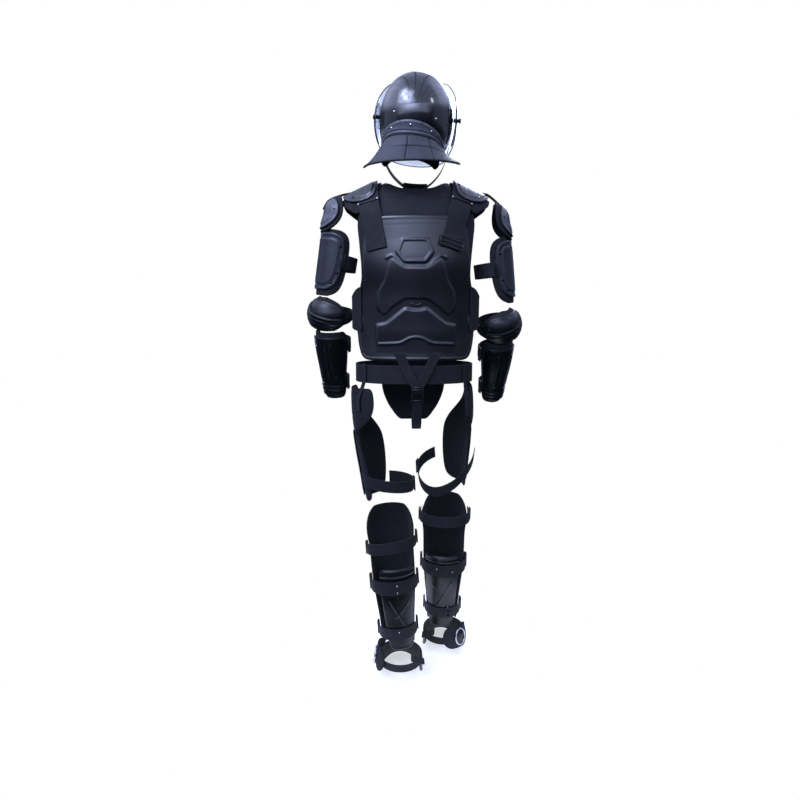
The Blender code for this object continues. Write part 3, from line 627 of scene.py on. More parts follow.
def laid(
    name, form, rows, spacing, wall, reach, materials, centre=0.0, relief=None, puff=0.0, rounds=3,
    stride=INNER_STRIDE,
):
    """A piece laid on a form. Each row gives its way, its two ends across and how far out it lies.

    relief takes metres across from the centre, the way and the distance from the border, and gives heights.
    """
    table = np.array(sorted(rows), float)
    near, far = outline(table, rounds)
    middle = (table[:, 1] + table[:, 2]) / 2
    spine = form(middle, table[:, 0], table[:, 3])
    length = np.linalg.norm(np.diff(spine, axis=0), axis=1).sum()
    ways = table[0, 0] + (table[-1, 0] - table[0, 0]) * stations(length, spacing)
    start, end = (np.interp(ways, side[:, 0], side[:, 1]) for side in (near, far))
    moves = np.linalg.norm(form(middle + 0.01, table[:, 0], table[:, 3]) - spine, axis=-1)
    size = float(np.median(moves) / 0.01)
    steps = np.maximum(np.abs(np.diff(start)), np.abs(np.diff(end))) * size
    ways = np.interp(*closer(ways, steps, 1.4 * spacing))
    start, end = (np.interp(ways, side[:, 0], side[:, 1]) for side in (near, far))
    out = blurred(np.interp(ways, table[:, 0], table[:, 3]), 4)
    half = (start + end) / 2
    unit_length = np.linalg.norm(form(half + 0.01, ways, out) - form(half - 0.01, ways, out), axis=-1) / 0.02
    fractions = stations(float(np.max(np.abs(end - start) * unit_length)), spacing)
    across = start[:, None] + (end - start)[:, None] * fractions[None, :]
    way, outs = (np.repeat(values[:, None], len(fractions), axis=1) for values in (ways, out))
    base, toward = on_form(form, across, way, outs)
    distance = border_distance(base, False)
    metres = (across - centre) * unit_length[:, None]
    lower, upper = rolled(distance, wall, reach)
    heights = puff * ramped(distance, 0, 0.022)
    if relief is not None:
        heights = heights + relief(metres, way, distance) * ramped(distance, 0.001, 0.005)
    tops = upper + heights
    made = skin(name, base, toward, metres, way, lower, tops, materials, relief=heights, stride=stride)
    made.form, made.out, made.tops = form, lambda value: np.interp(value, ways, out), upper + heights
    made.angles, made.ways = across, way
    return made


def on(made, across, way, lift=0.0):
    """Points and facings on a laid piece's outer face, lifted off it."""
    across, way = np.atleast_1d(np.asarray(across, float)), np.atleast_1d(np.asarray(way, float))
    reach = float(np.ptp(made.angles)) or 1.0
    flat = np.stack([made.angles.ravel() / reach, made.ways.ravel() / float(np.ptp(made.ways))], axis=1)
    sought = np.stack([across / reach, way / float(np.ptp(made.ways))], axis=1)
    nearest = np.array([np.argmin(((flat - point) ** 2).sum(axis=1)) for point in sought])
    facing = made.facing.reshape(-1, 3)[nearest]
    height = made.tops.ravel()[nearest] + lift
    return made.form(across, way, made.out(way)) + facing * height[:, None], facing


SELVEDGE = 0.0002  # how far the thicker edge of webbing stands up


def webbing(name, base, toward, materials, wall):
    """A strap over a grid whose rows run across the strap and whose columns run along it."""
    steps = np.linalg.norm(np.diff(base, axis=0), axis=-1).mean(axis=1)
    along = np.concatenate([[0.0], np.cumsum(steps)])
    widths = np.linalg.norm(np.diff(base, axis=1), axis=-1)
    across = np.concatenate([np.zeros((len(base), 1)), np.cumsum(widths, axis=1)], axis=1)
    width = float(across[:, -1].mean())
    across = across - across[:, -1:] / 2
    distance = border_distance(base, False)
    lower, upper = rolled(distance, wall, wall * 0.6)
    upper = upper + bead(distance - 0.0022, 0.0014, SELVEDGE)
    way = np.repeat(along[:, None], base.shape[1], axis=1)
    made = skin(name, base, toward, across, way, lower, upper, materials)
    made.flat = (width, float(along[-1]))
    return made


def strap_grid(form, route, half_width, spacing=0.004):
    """The grid of a strap round a form.

    Each row of its route gives an angle, how far down its middle is, and how far out.
    """
    table = np.array(route, float)
    order = run_along(form(*table.T))
    angle, way, out = blurred(read(table, stations(order[-1], spacing) * order[-1], order), 6).T
    sides = 2 * stations(2 * half_width, spacing) - 1
    angles, outs = (np.repeat(v[:, None], len(sides), axis=1) for v in (angle, out))
    ways = way[:, None] + half_width * sides[None, :]
    return on_form(form, angles, ways, outs)


def ribbon_grid(path, side, half_width, spacing=0.004):
    """The grid of a strap along a free path, with the direction of its width at each point of the path."""
    path, side = softened(path, 3), softened(side, 3)
    order = run_along(path)
    where = stations(order[-1], spacing) * order[-1]
    line, ways = read(path, where, order), unit(read(side, where, order))
    sides = 2 * stations(2 * half_width, spacing) - 1
    base = line[:, None] + ways[:, None] * (half_width * sides)[None, :, None]
    return base, np.cross(np.gradient(line, axis=0), ways)[:, None] + 0 * base


def facing_out(grid, away):
    """The grid with its facings turned to the side that away points to."""
    return grid if np.sum(grid[1] * away) >= 0 else (grid[0], -grid[1])


def tube(name, path, facing, wide, high, materials, closed=False, sides=10):
    """A closed tube of oval section along a path. wide and high are its two radii."""
    path = np.asarray(path, float)
    facing = np.broadcast_to(np.asarray(facing, float), path.shape)
    if closed:
        tangent = unit(np.roll(path, -1, axis=0) - np.roll(path, 1, axis=0))
    else:
        tangent = unit(np.gradient(path, axis=0))
    up = unit(facing - (facing * tangent).sum(axis=1, keepdims=True) * tangent)
    across = np.cross(tangent, up)
    turns = np.linspace(0, 2 * math.pi, sides, endpoint=False)
    wide, high = (np.broadcast_to(radius, len(path))[:, None, None] for radius in (wide, high))
    ring = across[:, None] * np.cos(turns)[None, :, None] * wide
    ring = ring + up[:, None] * np.sin(turns)[None, :, None] * high
    points = (path[:, None] + ring).reshape(-1, 3)
    index = wrapped_index(len(path), sides)
    if closed:
        index = np.concatenate([index, index[:1]])
    faces = quads(index)[:, ::-1].tolist()
    if not closed:
        faces += [index[0, :-1].tolist(), index[-1, -2::-1].tolist()]
    return linked(name, mended(new_mesh(name, points, faces)), materials)


def fitting(name, point, along, facing, boxes, edge, materials):
    """A moulded fitting of rounded bars. Each gives its three sizes and its middle: across, along and out."""
    facing = unit(np.asarray(facing, float))
    along = unit(np.asarray(along, float) - np.dot(along, facing) * facing)
    place = np.eye(4)
    place[:3, :3] = np.stack([np.cross(along, facing), along, facing], axis=1)
    place[:3, 3] = point
    whole = bmesh.new()
    for size, middle in boxes:
        bar = bmesh.new()
        bmesh.ops.create_cube(bar, size=1.0)
        bmesh.ops.scale(bar, vec=size, verts=bar.verts)
        bmesh.ops.bevel(bar, geom=bar.edges, offset=min(edge, min(size) * 0.45), segments=3, affect="EDGES")
        bmesh.ops.translate(bar, vec=middle, verts=bar.verts)
        part = bpy.data.meshes.new("bar")
        bar.to_mesh(part)
        bar.free()
        whole.from_mesh(part)
        bpy.data.meshes.remove(part)
    bmesh.ops.transform(whole, matrix=Matrix(place.tolist()), verts=whole.verts)
    data = bpy.data.meshes.new(name)
    whole.to_mesh(data)
    whole.free()
    data.shade_smooth()
    data.set_sharp_from_angle(angle=math.radians(50))
    return linked(name, data, materials)


MERGE = 0.00005  # points closer than this are one


def turned(name, profile, place, flutes, materials):
    """A turned knob: its profile gives radii and distances along its axis, and its widest part is fluted."""
    turns = np.linspace(0, 2 * math.pi, 72, endpoint=False)
    radii, along = np.array(profile).T
    widest = radii >= radii.max() - 1e-6
    wave = np.where(widest[:, None], 1 - 0.05 * (1 + np.cos(flutes * turns))[None, :], 1.0)
    ring = radii[:, None] * wave
    x, y = ring * np.cos(turns), ring * np.sin(turns)
    z = np.repeat(along[:, None], len(turns), axis=1)
    points = moved(np.stack([x, y, z], axis=-1), place).reshape(-1, 3)
    data = mended(new_mesh(name, points, quads(wrapped_index(*ring.shape)).tolist()), MERGE)
    data.set_sharp_from_angle(angle=math.radians(35))
    return linked(name, data, materials)


# ---- finishes

BAND = 2 * math.pi / 20  # how far apart a wave texture's bands lie at a scale of one


def linear(hex_colour):
    """An sRGB hex colour as linear red, green, blue and alpha."""
    parts = [int(hex_colour[i : i + 2], 16) / 255 for i in (1, 3, 5)]
    return [c / 12.92 if c <= 0.04045 else ((c + 0.055) / 1.055) ** 2.4 for c in parts] + [1.0]


def add(tree, kind, inputs=None, out=0, **settings):
    """Adds a node with its settings, gives its inputs values or links, and returns one output or all."""
    made = tree.nodes.new(kind)
    for label, value in settings.items():
        setattr(made, label, value)
    for label, value in (inputs or {}).items():
        if isinstance(value, bpy.types.NodeSocket):
            tree.links.new(value, made.inputs[label])
        else:
            made.inputs[label].default_value = value
    return made.outputs if out is None else made.outputs[out]


def started(name, colour, roughness, constants=None):
    """A new material, its tree and its shader, with what is the same all over it."""
    material = bpy.data.materials.new(name)
    material.use_nodes = True
    shader = material.node_tree.nodes["Principled BSDF"]
    shader.inputs["Base Color"].default_value = linear(colour)
    shader.inputs["Roughness"].default_value = roughness
    for label, value in (constants or {}).items():
        shader.inputs[label].default_value = value
    return material, material.node_tree, shader


def finished(
    made, tone, colours, cloud, gloss,
    bump=None, over=None, between=(0.3, 0.7), normal="Normal", inverted=False,
):
    """Ends a material: its colour follows tone and its roughness cloud, each from one value to another.

    bump gives a height, its strength and its depth; over gives a share and the colour that it lays on top.
    """
    material, tree, shader = made
    mixed = {0: tone, 6: linear(colours[0]), 7: linear(colours[1])}
    mixed = add(tree, "ShaderNodeMix", mixed, data_type="RGBA", out=2)
    if over:
        mixed = {0: over[0], 6: mixed, 7: linear(over[1])}
        mixed = add(tree, "ShaderNodeMix", mixed, data_type="RGBA", out=2)
    rough = {0: cloud, 1: between[0], 2: between[1], 3: gloss[0], 4: gloss[1]}
    links = {"Base Color": mixed, "Roughness": add(tree, "ShaderNodeMapRange", rough)}
    if bump:
        height = {"Height": bump[0], "Strength": bump[1], "Distance": bump[2]}
        links[normal] = add(tree, "ShaderNodeBump", height, invert=inverted)
    for label, socket in links.items():
        tree.links.new(socket, shader.inputs[label])
    return material


def moulded_abs(name, dark, light, wear_and_highlight_colour, smooth, rough, constants=None):
    """ABS: satin black with faint flow marks, a spark-eroded grain, paler rubbed edges, and crests drawn paler
    as rubbed wear and a painted highlight.
    """
    material, tree, shader = started(name, dark, smooth, constants)
    place = add(tree, "ShaderNodeTexCoord", out="Object")
    flow = add(tree, "ShaderNodeTexNoise", {"Vector": place, "Scale": 11.0, "Detail": 4.0})
    # the real grain is about 0.1 mm; it is drawn at 1.1 mm so that it shows
    grain = add(tree, "ShaderNodeTexNoise", {"Vector": place, "Scale": 900.0, "Detail": 2.0})
    streaked = add(tree, "ShaderNodeMapping", {"Vector": place, "Scale": (1.0, 1.0, 0.07)})
    scuffs = add(tree, "ShaderNodeTexNoise", {"Vector": streaked, "Scale": 330.0, "Detail": 3.0})
    edge = add(tree, "ShaderNodeAttribute", attribute_name="edge", out="Fac")
    # crests are drawn paler: rubbing, and a painted highlight along each ridge
    crest_rub_and_highlight = add(tree, "ShaderNodeAttribute", attribute_name="crest_rub_and_highlight", out="Fac")
    rub_and_highlight = add(tree, "ShaderNodeMapRange", {0: edge, 1: 0.0, 2: 0.0030, 3: 0.40, 4: 0.0})
    rub_and_highlight = add(tree, "ShaderNodeMath", {0: rub_and_highlight, 1: crest_rub_and_highlight}, operation="MAXIMUM")
    patchy = add(tree, "ShaderNodeTexNoise", {"Vector": place, "Scale": 70.0, "Detail": 5.0})
    patchy = add(tree, "ShaderNodeMapRange", {0: patchy, 1: 0.38, 2: 0.66, 3: 0.15, 4: 0.8})
    rub_and_highlight = add(tree, "ShaderNodeMath", {0: rub_and_highlight, 1: patchy}, operation="MULTIPLY")
    marks = add(tree, "ShaderNodeMapRange", {0: scuffs, 1: 0.66, 2: 0.80, 3: 0.0, 4: 0.35})
    # the paler colour lays rubbed wear on the edges and scuffs, and a painted highlight on the crests
    wear_and_highlight_share = add(tree, "ShaderNodeMath", {0: rub_and_highlight, 1: marks}, operation="MAXIMUM")
    mixed = add(tree, "ShaderNodeMix", {0: flow, 6: linear(dark), 7: linear(light)}, data_type="RGBA", out=2)
    mixed = add(tree, "ShaderNodeMix", {0: wear_and_highlight_share, 6: mixed, 7: linear(wear_and_highlight_colour)}, data_type="RGBA", out=2)
    rougher = add(tree, "ShaderNodeMapRange", {0: flow, 1: 0.3, 2: 0.7, 3: smooth, 4: rough})
    rougher = add(tree, "ShaderNodeMath", {0: wear_and_highlight_share, 1: 0.12, 2: rougher}, operation="MULTIPLY_ADD")
    bump = add(tree, "ShaderNodeBump", {"Height": grain, "Strength": 0.10, "Distance": 0.0004})
    for label, socket in (("Base Color", mixed), ("Roughness", rougher), ("Normal", bump)):
        tree.links.new(socket, shader.inputs[label])
    return material


def lacquered_shell():
    """Lacquered ABS of the helmet: a wet gloss over blue-black, with a trace of orange peel and hairlines."""
    coat = {"Coat Weight": 1.0, "Coat Roughness": 0.035, "Coat IOR": 1.72}
    made = _, tree, _ = started("lacquered_helmet_shell", "#0B0C11", 0.30, coat)
    place = add(tree, "ShaderNodeTexCoord", out="Object")
    cloud = add(tree, "ShaderNodeTexNoise", {"Vector": place, "Scale": 16.0, "Detail": 3.0})
    fine = add(tree, "ShaderNodeTexNoise", {"Vector": place, "Scale": 420.0, "Detail": 4.0})
    # orange peel is about 3 mm from crest to crest
    peel = add(tree, "ShaderNodeTexNoise", {"Vector": place, "Scale": 330.0, "Detail": 1.0})
    bump = (peel, 0.05, 0.0003)
    return finished(made, cloud, ("#0A0B10", "#10121A"), fine, (0.26, 0.36), bump, normal="Coat Normal")


def clear_polycarbonate():
    """Moulded polycarbonate of the visor: clear with a cool cast, a hard coat, and hairline scratches."""
    glass = {"Transmission Weight": 1.0, "IOR": 1.58}
    made = _, tree, _ = started("clear_polycarbonate", "#CFDAF8", 0.03, glass)
    place = add(tree, "ShaderNodeTexCoord", out="Object")
    drawn = add(tree, "ShaderNodeMapping", {"Vector": place, "Scale": (1.0, 1.0, 0.05)})
    hairs = add(tree, "ShaderNodeTexNoise", {"Vector": drawn, "Scale": 420.0, "Detail": 3.0})
    tint = add(tree, "ShaderNodeTexNoise", {"Vector": place, "Scale": 9.0, "Detail": 1.0})
    return finished(made, tint, ("#C6D3F7", "#D8E1FA"), hairs, (0.025, 0.14), between=(0.62, 0.80))


def woven_nylon(name, dark, light, thread=0.0024):
    """Heavy basket-woven nylon: matte charcoal, its floats with a soft sheen, a little faded in patches."""
    sheen = {"Sheen Weight": 0.06, "Sheen Roughness": 0.40, "Sheen Tint": linear("#9AA3BC")}
    made = _, tree, _ = started(name, dark, 0.82, sheen)
    cut = add(tree, "ShaderNodeUVMap", uv_map="cut")
    place = add(tree, "ShaderNodeTexCoord", out="Object")
    # real threads lie 0.6 mm apart; they are drawn at 2.4 mm so that the weave shows
    spaced = {"Vector": cut, "Scale": BAND / thread}
    warp, weft = (add(tree, "ShaderNodeTexWave", spaced, bands_direction=way, out=1) for way in "XY")
    weave = add(tree, "ShaderNodeMath", {0: warp, 1: weft}, operation="MULTIPLY")
    faded = add(tree, "ShaderNodeTexNoise", {"Vector": place, "Scale": 22.0, "Detail": 5.0})
    share = add(tree, "ShaderNodeMath", {0: weave, 1: 0.5, 2: 0.0}, operation="MULTIPLY_ADD")
    share = add(tree, "ShaderNodeMath", {0: faded, 1: 0.6, 2: share}, operation="MULTIPLY_ADD")
    return finished(made, share, (dark, light), faded, (0.74, 0.90), (weave, 0.35, 0.0005))


def polyester_webbing():
    """Polyester webbing: cross ribs over lengthwise cords, a firmer selvedge, a little fuzz at its edges."""
    sheen = {"Sheen Weight": 0.05, "Sheen Roughness": 0.40}
    made = _, tree, _ = started("polyester_webbing", "#0B0C0E", 0.78, sheen)
    cut = add(tree, "ShaderNodeUVMap", uv_map="cut")
    place = add(tree, "ShaderNodeTexCoord", out="Object")
    # ribs lie 1.3 mm apart and are drawn at 2.6 mm; the cords under them lie 5 mm apart
    ribs = {"Vector": cut, "Scale": BAND / 0.0026, "Distortion": 0.6, "Detail Scale": 3.0}
    ribs = add(tree, "ShaderNodeTexWave", ribs, bands_direction="Y", out=1)
    cords = add(tree, "ShaderNodeTexWave", {"Vector": cut, "Scale": BAND / 0.005}, bands_direction="X", out=1)
    woven = add(tree, "ShaderNodeMath", {0: cords, 1: 0.35, 2: ribs}, operation="MULTIPLY_ADD")
    edge = add(tree, "ShaderNodeAttribute", attribute_name="edge", out="Fac")
    selvedge = add(tree, "ShaderNodeMapRange", {0: edge, 1: 0.0008, 2: 0.0030, 3: 0.5, 4: 0.0})
    dusty = add(tree, "ShaderNodeTexNoise", {"Vector": place, "Scale": 35.0, "Detail": 5.0})
    share = add(tree, "ShaderNodeMath", {0: dusty, 1: 0.55, 2: selvedge}, operation="MULTIPLY_ADD")
    share = add(tree, "ShaderNodeMath", {0: woven, 1: 0.30, 2: share}, operation="MULTIPLY_ADD")
    return finished(made, share, ("#09090B", "#1A1B21"), dusty, (0.70, 0.86), (woven, 0.40, 0.0006))


def knitted_elastic():
    """Knitted elastic of the waist panels: close matte ribs up and down, which open as it is stretched."""
    made = _, tree, _ = started("knitted_elastic", "#0B0C0E", 0.86, {"Sheen Weight": 0.05})
    cut = add(tree, "ShaderNodeUVMap", uv_map="cut")
    place = add(tree, "ShaderNodeTexCoord", out="Object")
    # real ribs lie 2 mm apart; they are drawn at 4 mm
    ribs = {"Vector": cut, "Scale": BAND / 0.004, "Distortion": 0.8, "Detail": 2.0, "Detail Scale": 4.0}
    ribs = add(tree, "ShaderNodeTexWave", ribs, bands_direction="Y", out=1)
    fuzz = add(tree, "ShaderNodeTexNoise", {"Vector": place, "Scale": 600.0, "Detail": 3.0})
    share = add(tree, "ShaderNodeMath", {0: ribs, 1: fuzz}, operation="MULTIPLY")
    return finished(made, share, ("#08080A", "#1B1C22"), fuzz, (0.80, 0.92), (ribs, 0.55, 0.0009))


def coated_cloth():
    """PVC-coated cloth of the neck guard: matte slate with a pebbled grain, and painted shade darkening the
    grain's hollows.
    """
    made = _, tree, _ = started("coated_neck_cloth", "#262A38", 0.55)
    place = add(tree, "ShaderNodeTexCoord", out="Object")
    # the pebbles are about 1 mm across and drawn at 2.2 mm
    pebbles = add(tree, "ShaderNodeTexVoronoi", {"Vector": place, "Scale": 450.0})
    cloud = add(tree, "ShaderNodeTexNoise", {"Vector": place, "Scale": 26.0, "Detail": 5.0})
    # the hollows between the pebbles are darkened, a painted shade
    shaded = add(tree, "ShaderNodeMapRange", {0: pebbles, 1: 0.2, 2: 0.8, 3: 0.0, 4: 0.35})
    colours, bump = ("#303137", "#4E5058"), (pebbles, 0.25, 0.0004)
    return finished(made, cloud, colours, cloud, (0.46, 0.62), bump, (shaded, "#14161F"), inverted=True)


def mesh_lining():
    """Knitted spacer mesh inside the pads: round openings painted near black, a painted shade in their depth,
    in a soft matte net.
    """
    made = _, tree, _ = started("spacer_mesh_lining", "#0D0D10", 0.92, {"Sheen Weight": 0.05})
    cut = add(tree, "ShaderNodeUVMap", uv_map="cut")
    place = add(tree, "ShaderNodeTexCoord", out="Object")
    # openings lie 4 mm apart, as the real ones do
    holes = add(tree, "ShaderNodeTexVoronoi", {"Vector": cut, "Scale": 250.0, "Randomness": 0.15})
    # the openings are darkened, a painted shade where the net is open
    painted_opening_shade = add(tree, "ShaderNodeMapRange", {0: holes, 1: 0.25, 2: 0.42, 3: 1.0, 4: 0.0})
    soft = add(tree, "ShaderNodeTexNoise", {"Vector": place, "Scale": 40.0, "Detail": 4.0})
    colours, bump = ("#0D0D10", "#17181D"), (holes, 0.6, 0.0009)
    return finished(made, soft, colours, soft, (0.86, 0.96), bump, (painted_opening_shade, "#040405"))


def grained(name, dark, light, smooth, rough, scale, depth, constants=None):
    """A plain finish: its tone and its gloss follow one noise in the solid, and its fine grain another."""
    made = _, tree, _ = started(name, dark, smooth, constants)
    place = add(tree, "ShaderNodeTexCoord", out="Object")
    cloud = add(tree, "ShaderNodeTexNoise", {"Vector": place, "Scale": scale / 18, "Detail": 5.0})
    grain = add(tree, "ShaderNodeTexNoise", {"Vector": place, "Scale": scale, "Detail": 3.0})
    return finished(made, cloud, (dark, light), cloud, (smooth, rough), (grain, 0.3, depth))


PLATE = moulded_abs(
    "satin_moulded_abs", "#07080C", "#0B0D12", "#2B2F3A", 0.30, 0.38, {"Specular IOR Level": 0.85}
)
LOW_PLATE = moulded_abs("satin_moulded_abs_limbs", "#0A0B0D", "#0F1013", "#25272F", 0.27, 0.38)
# the upper arms' and the caps' plates are the same black plastic drawn paler: a painted highlight for the
# light that they catch
PAINTED_LIGHT_ARM_PLATE = moulded_abs("satin_moulded_abs_arms_painted_light", "#212329", "#2C2E35", "#41454E", 0.28, 0.38)
PAINTED_LIGHT_CAP_PLATE = moulded_abs("satin_moulded_abs_shoulders_painted_light", "#505257", "#5E6066", "#6C6E75", 0.32, 0.42)
SHELL = lacquered_shell()
# the same plastic on trims that have no edge of their own to rub; the band's is drawn paler, a painted sheen
PAINTED_SHEEN_BAND_ABS = grained("satin_abs_band_painted_sheen", "#585A61", "#686A72", 0.30, 0.40, 900.0, 0.0002)
PLATE_PAINT = grained("satin_abs_trim", "#0C0D12", "#13151B", 0.28, 0.38, 900.0, 0.0002)
CLEAR = clear_polycarbonate()
CANVAS = woven_nylon("woven_nylon_panels", "#0E0F13", "#1B1C23")
PAD_CLOTH = woven_nylon("woven_nylon_pads", "#0C0C0F", "#17181D", 0.0021)
STRAP = polyester_webbing()
ELASTIC = knitted_elastic()
GUARD_CLOTH = coated_cloth()
LINING = mesh_lining()
# grosgrain tape over every sewn edge: dull black, ribbed too finely to show
BINDING = grained("grosgrain_binding", "#070709", "#0F1013", 0.72, 0.86, 900.0, 0.0003)
# bonded polyester thread: a slight shine, a shade paler than the cloth
THREAD = grained("polyester_thread", "#17181D", "#24262E", 0.50, 0.62, 1500.0, 0.0001)
# nickel-plated steel: bright, with a faint haze
NICKEL = grained("nickel_plated_steel", "#B9BDC6", "#D2D5DB", 0.18, 0.32, 700.0, 0.0001, {"Metallic": 1.0})
# black-oxide steel: dark with a grey metallic lift
BLACKENED = grained("black_oxide_steel", "#2A2C31", "#3E4148", 0.34, 0.48, 700.0, 0.0001, {"Metallic": 1.0})
# acetal: hard waxy black of buckles and sliders
ACETAL = grained("moulded_acetal", "#0B0C0F", "#16171B", 0.28, 0.40, 800.0, 0.0002)
# EPDM rubber: matte black, slightly bloomed
RUBBER = grained("extruded_rubber", "#0B0C0E", "#181A1F", 0.50, 0.66, 600.0, 0.0003)
# closed-cell foam under brushed nylon: soft dark grey
FOAM = grained("brushed_foam_liner", "#0A0A0C", "#131417", 0.88, 0.96, 400.0, 0.0006, {"Sheen Weight": 0.08})


# ---- what is collected while the pieces are made, and grown from lines and points at the end

RIVETS = {"nickel": [], "black": [], "visor": []}
SEAMS = []
TAPES = []


def rivets(kind, points, faces, size=1.0):
    for point, facing in zip(points, faces):
        RIVETS[kind].append((point, facing, size))


def seam(points, faces, closed=False):
    SEAMS.append((points, faces, closed))


def hem_seam(made):
    """A line of stitches all round a piece, just inside its border."""
    seam(round_the_border(made.outer, STITCH_RING), round_the_border(made.facing, STITCH_RING), True)


def round_the_border(grid, ring=0):
    """The grid's values on the ring that lies so many lines inside its border."""
    inner = grid[ring : len(grid) - ring, ring : grid.shape[1] - ring]
    return np.concatenate([inner[0, :-1], inner[:-1, -1], inner[-1, :0:-1], inner[:0:-1, 0]])


BINDING_RADIUS = 0.0030


def bound(made, radius):
    """Binding tape round a sewn piece's border."""
    TAPES.append((round_the_border(made.outer), radius, True))


def placed(made, nodes=(), body="suit"):
    """Gives a piece its body, and hides the CAD pieces that it stands for."""
    piece = getattr(made, "piece", made)
    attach(piece, body)
    if nodes:
        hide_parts(*nodes)
    return made


def strap_piece(name, grid, nodes=(), materials=(STRAP, STRAP), wall=WEBBING):
    """A webbing strap, which is a flat sheet stretched along its way."""
    made = placed(webbing(name, *grid, materials, wall), nodes)
    return made


def box_stitch(made, at_end, size):
    """A stitched box with a cross at one end of a strap."""
    columns = made.way.shape[1]
    length = made.way[-1, 0]
    near, far = (length - 0.006 - size, length - 0.006) if at_end else (0.006, 0.006 + size)
    first, last = (int(np.argmin(np.abs(made.way[:, 0] - where))) for where in (near, far))
    left, right = 4, columns - 5
    box = [(first, left), (last, left), (last, right), (first, right), (first, left)]
    for line in (box, [(first, left), (last, right)], [(first, right), (last, left)]):
        corners = np.array(line, float)
        steps = np.concatenate([[0], np.cumsum(np.abs(np.diff(corners, axis=0)).max(axis=1))])
        where = np.linspace(0, steps[-1], int(steps[-1]) + 1)
        row = np.interp(where, steps, corners[:, 0]).round().astype(int)
        column = np.interp(where, steps, corners[:, 1]).round().astype(int)
        seam(made.outer[row, column] + 0.0002 * made.facing[row, column], made.facing[row, column])


# ---- vest

PANEL_EDGE = (
    # way, half width
    (1.078, 0.144),
    (1.120, 0.153),
    (1.200, 0.161),
    (1.270, 0.154),
    (1.340, 0.153),
    (1.410, 0.159),
    (1.460, 0.163),
    (1.510, 0.156),
    (1.600, 0.150),
)
PANEL_WIDTH = 0.32
PANEL_HEIGHT = 0.50


def wavering(x, y, size, depth, seed):
    """Slack in cloth: a few crossing waves, the same on every run."""
    waves = np.random.default_rng(seed)
    total = np.zeros(np.shape(x))
    for _ in range(5):
        turn, phase, scale = waves.uniform(0, math.pi), waves.uniform(0, 2 * math.pi), waves.uniform(0.6, 1.5)
        way = (x * math.cos(turn) + y * math.sin(turn)) * 2 * math.pi
        total = total + np.sin(way / (size * scale) + phase)
    return depth * total / 5


def yoke_line(x):
    return 1.511 - 0.10 * np.abs(x) ** 1.3


def vest_panel(name, face, neck_way, nodes, seed):
    """The padded carrier of one side, from the hem to the shoulder line and cut out for the neck."""
    across = (2 * stations(PANEL_WIDTH, 0.0045) - 1)[None, :]
    along = stations(PANEL_HEIGHT, 0.0045)[:, None]
    top_way = SHOULDER_LINE - 0.0003
    from_neck = np.minimum(np.abs(across) * PANEL_EDGE[-1][1] / NECK_SIDE, 1.0)
    top = neck_way + (top_way - neck_way) * from_neck**4
    way = PANEL_EDGE[0][0] + along * (top - PANEL_EDGE[0][0])
    x = across * section(PANEL_EDGE, way)[0]
    base, toward = on_form(torso_form, x, way if face < 0 else down_front(way), 0.0)
    distance = border_distance(base, False)
    lower, upper = rolled(distance, CLOTH, 0.0045)
    yoke = way - yoke_line(x)
    relief = 0.0012 * ramped(yoke, -0.0015, 0.0015) - bead(np.abs(yoke + 0.002), 0.004, 0.0012)
    relief = relief + wavering(x, way, 0.09, 0.0006, seed) * ramped(way, 1.46, 1.49)
    relief = relief * ramped(distance, 0.001, 0.006)
    made = skin(name, base, toward, x, way, lower, upper + relief, (CANVAS, LINING), relief=relief)
    placed(made, nodes)
    hem_seam(made)
    bound(made, BINDING_RADIUS)
    for offset in (0.0035, 0.0085):
        line_x = np.linspace(-0.125, 0.125, 60)
        line_way = yoke_line(line_x) + offset
        run = line_way if face < 0 else down_front(line_way)
        base = torso_form(line_x, run, CLOTH + 0.0013)
        seam(base, unit(torso_form(line_x, run, 0.02) - torso_form(line_x, run, 0.0)))


PLATE_EDGE = (
    # height, half width
    (1.071, 0.140),
    (1.084, 0.154),
    (1.115, 0.162),
    (1.160, 0.166),
    (1.210, 0.170),
    (1.255, 0.167),
    (1.290, 0.153),
    (1.330, 0.150),
    (1.370, 0.150),
    (1.410, 0.147),
    (1.446, 0.138),
    (1.468, 0.118),
)
HEXAGON = eased(mirrored([(0.034, 1.345), (0.056, 1.375), (0.0395, 1.415)]), 0.007, True) - (0.0045, 0)
COLLAR_RIDGE = eased(mirrored([(0.031, 1.3335), (0.0675, 1.3685), (0.081, 1.3610)]), 0.012)
SIDE_CURVE = [
    (0.0675, 1.366), (0.081, 1.345), (0.0895, 1.304), (0.1105, 1.268), (0.113, 1.226), (0.101, 1.206),
]
MIDDLE_PANEL = eased(
    mirrored([(0.031, 1.334)])
    + SIDE_CURVE
    + [(0.088, 1.1995), (0.065, 1.2215), (0.030, 1.246), (-0.030, 1.246), (-0.065, 1.2215), (-0.088, 1.1995)]
    + [(-x, y) for x, y in reversed(SIDE_CURVE)],
    0.011,
    True,
)
LOWER_PANEL = [(0.012, 1.2215), (0.031, 1.2275), (0.086, 1.1825), (0.1160, 1.1785), (0.1160, 1.0900)]
LOWER_PANEL = eased(mirrored(LOWER_PANEL), 0.009, True)
HEM_RIDGE = eased(mirrored([(0.016, 1.1390), (0.042, 1.1215), (0.1045, 1.1185)]), 0.014)


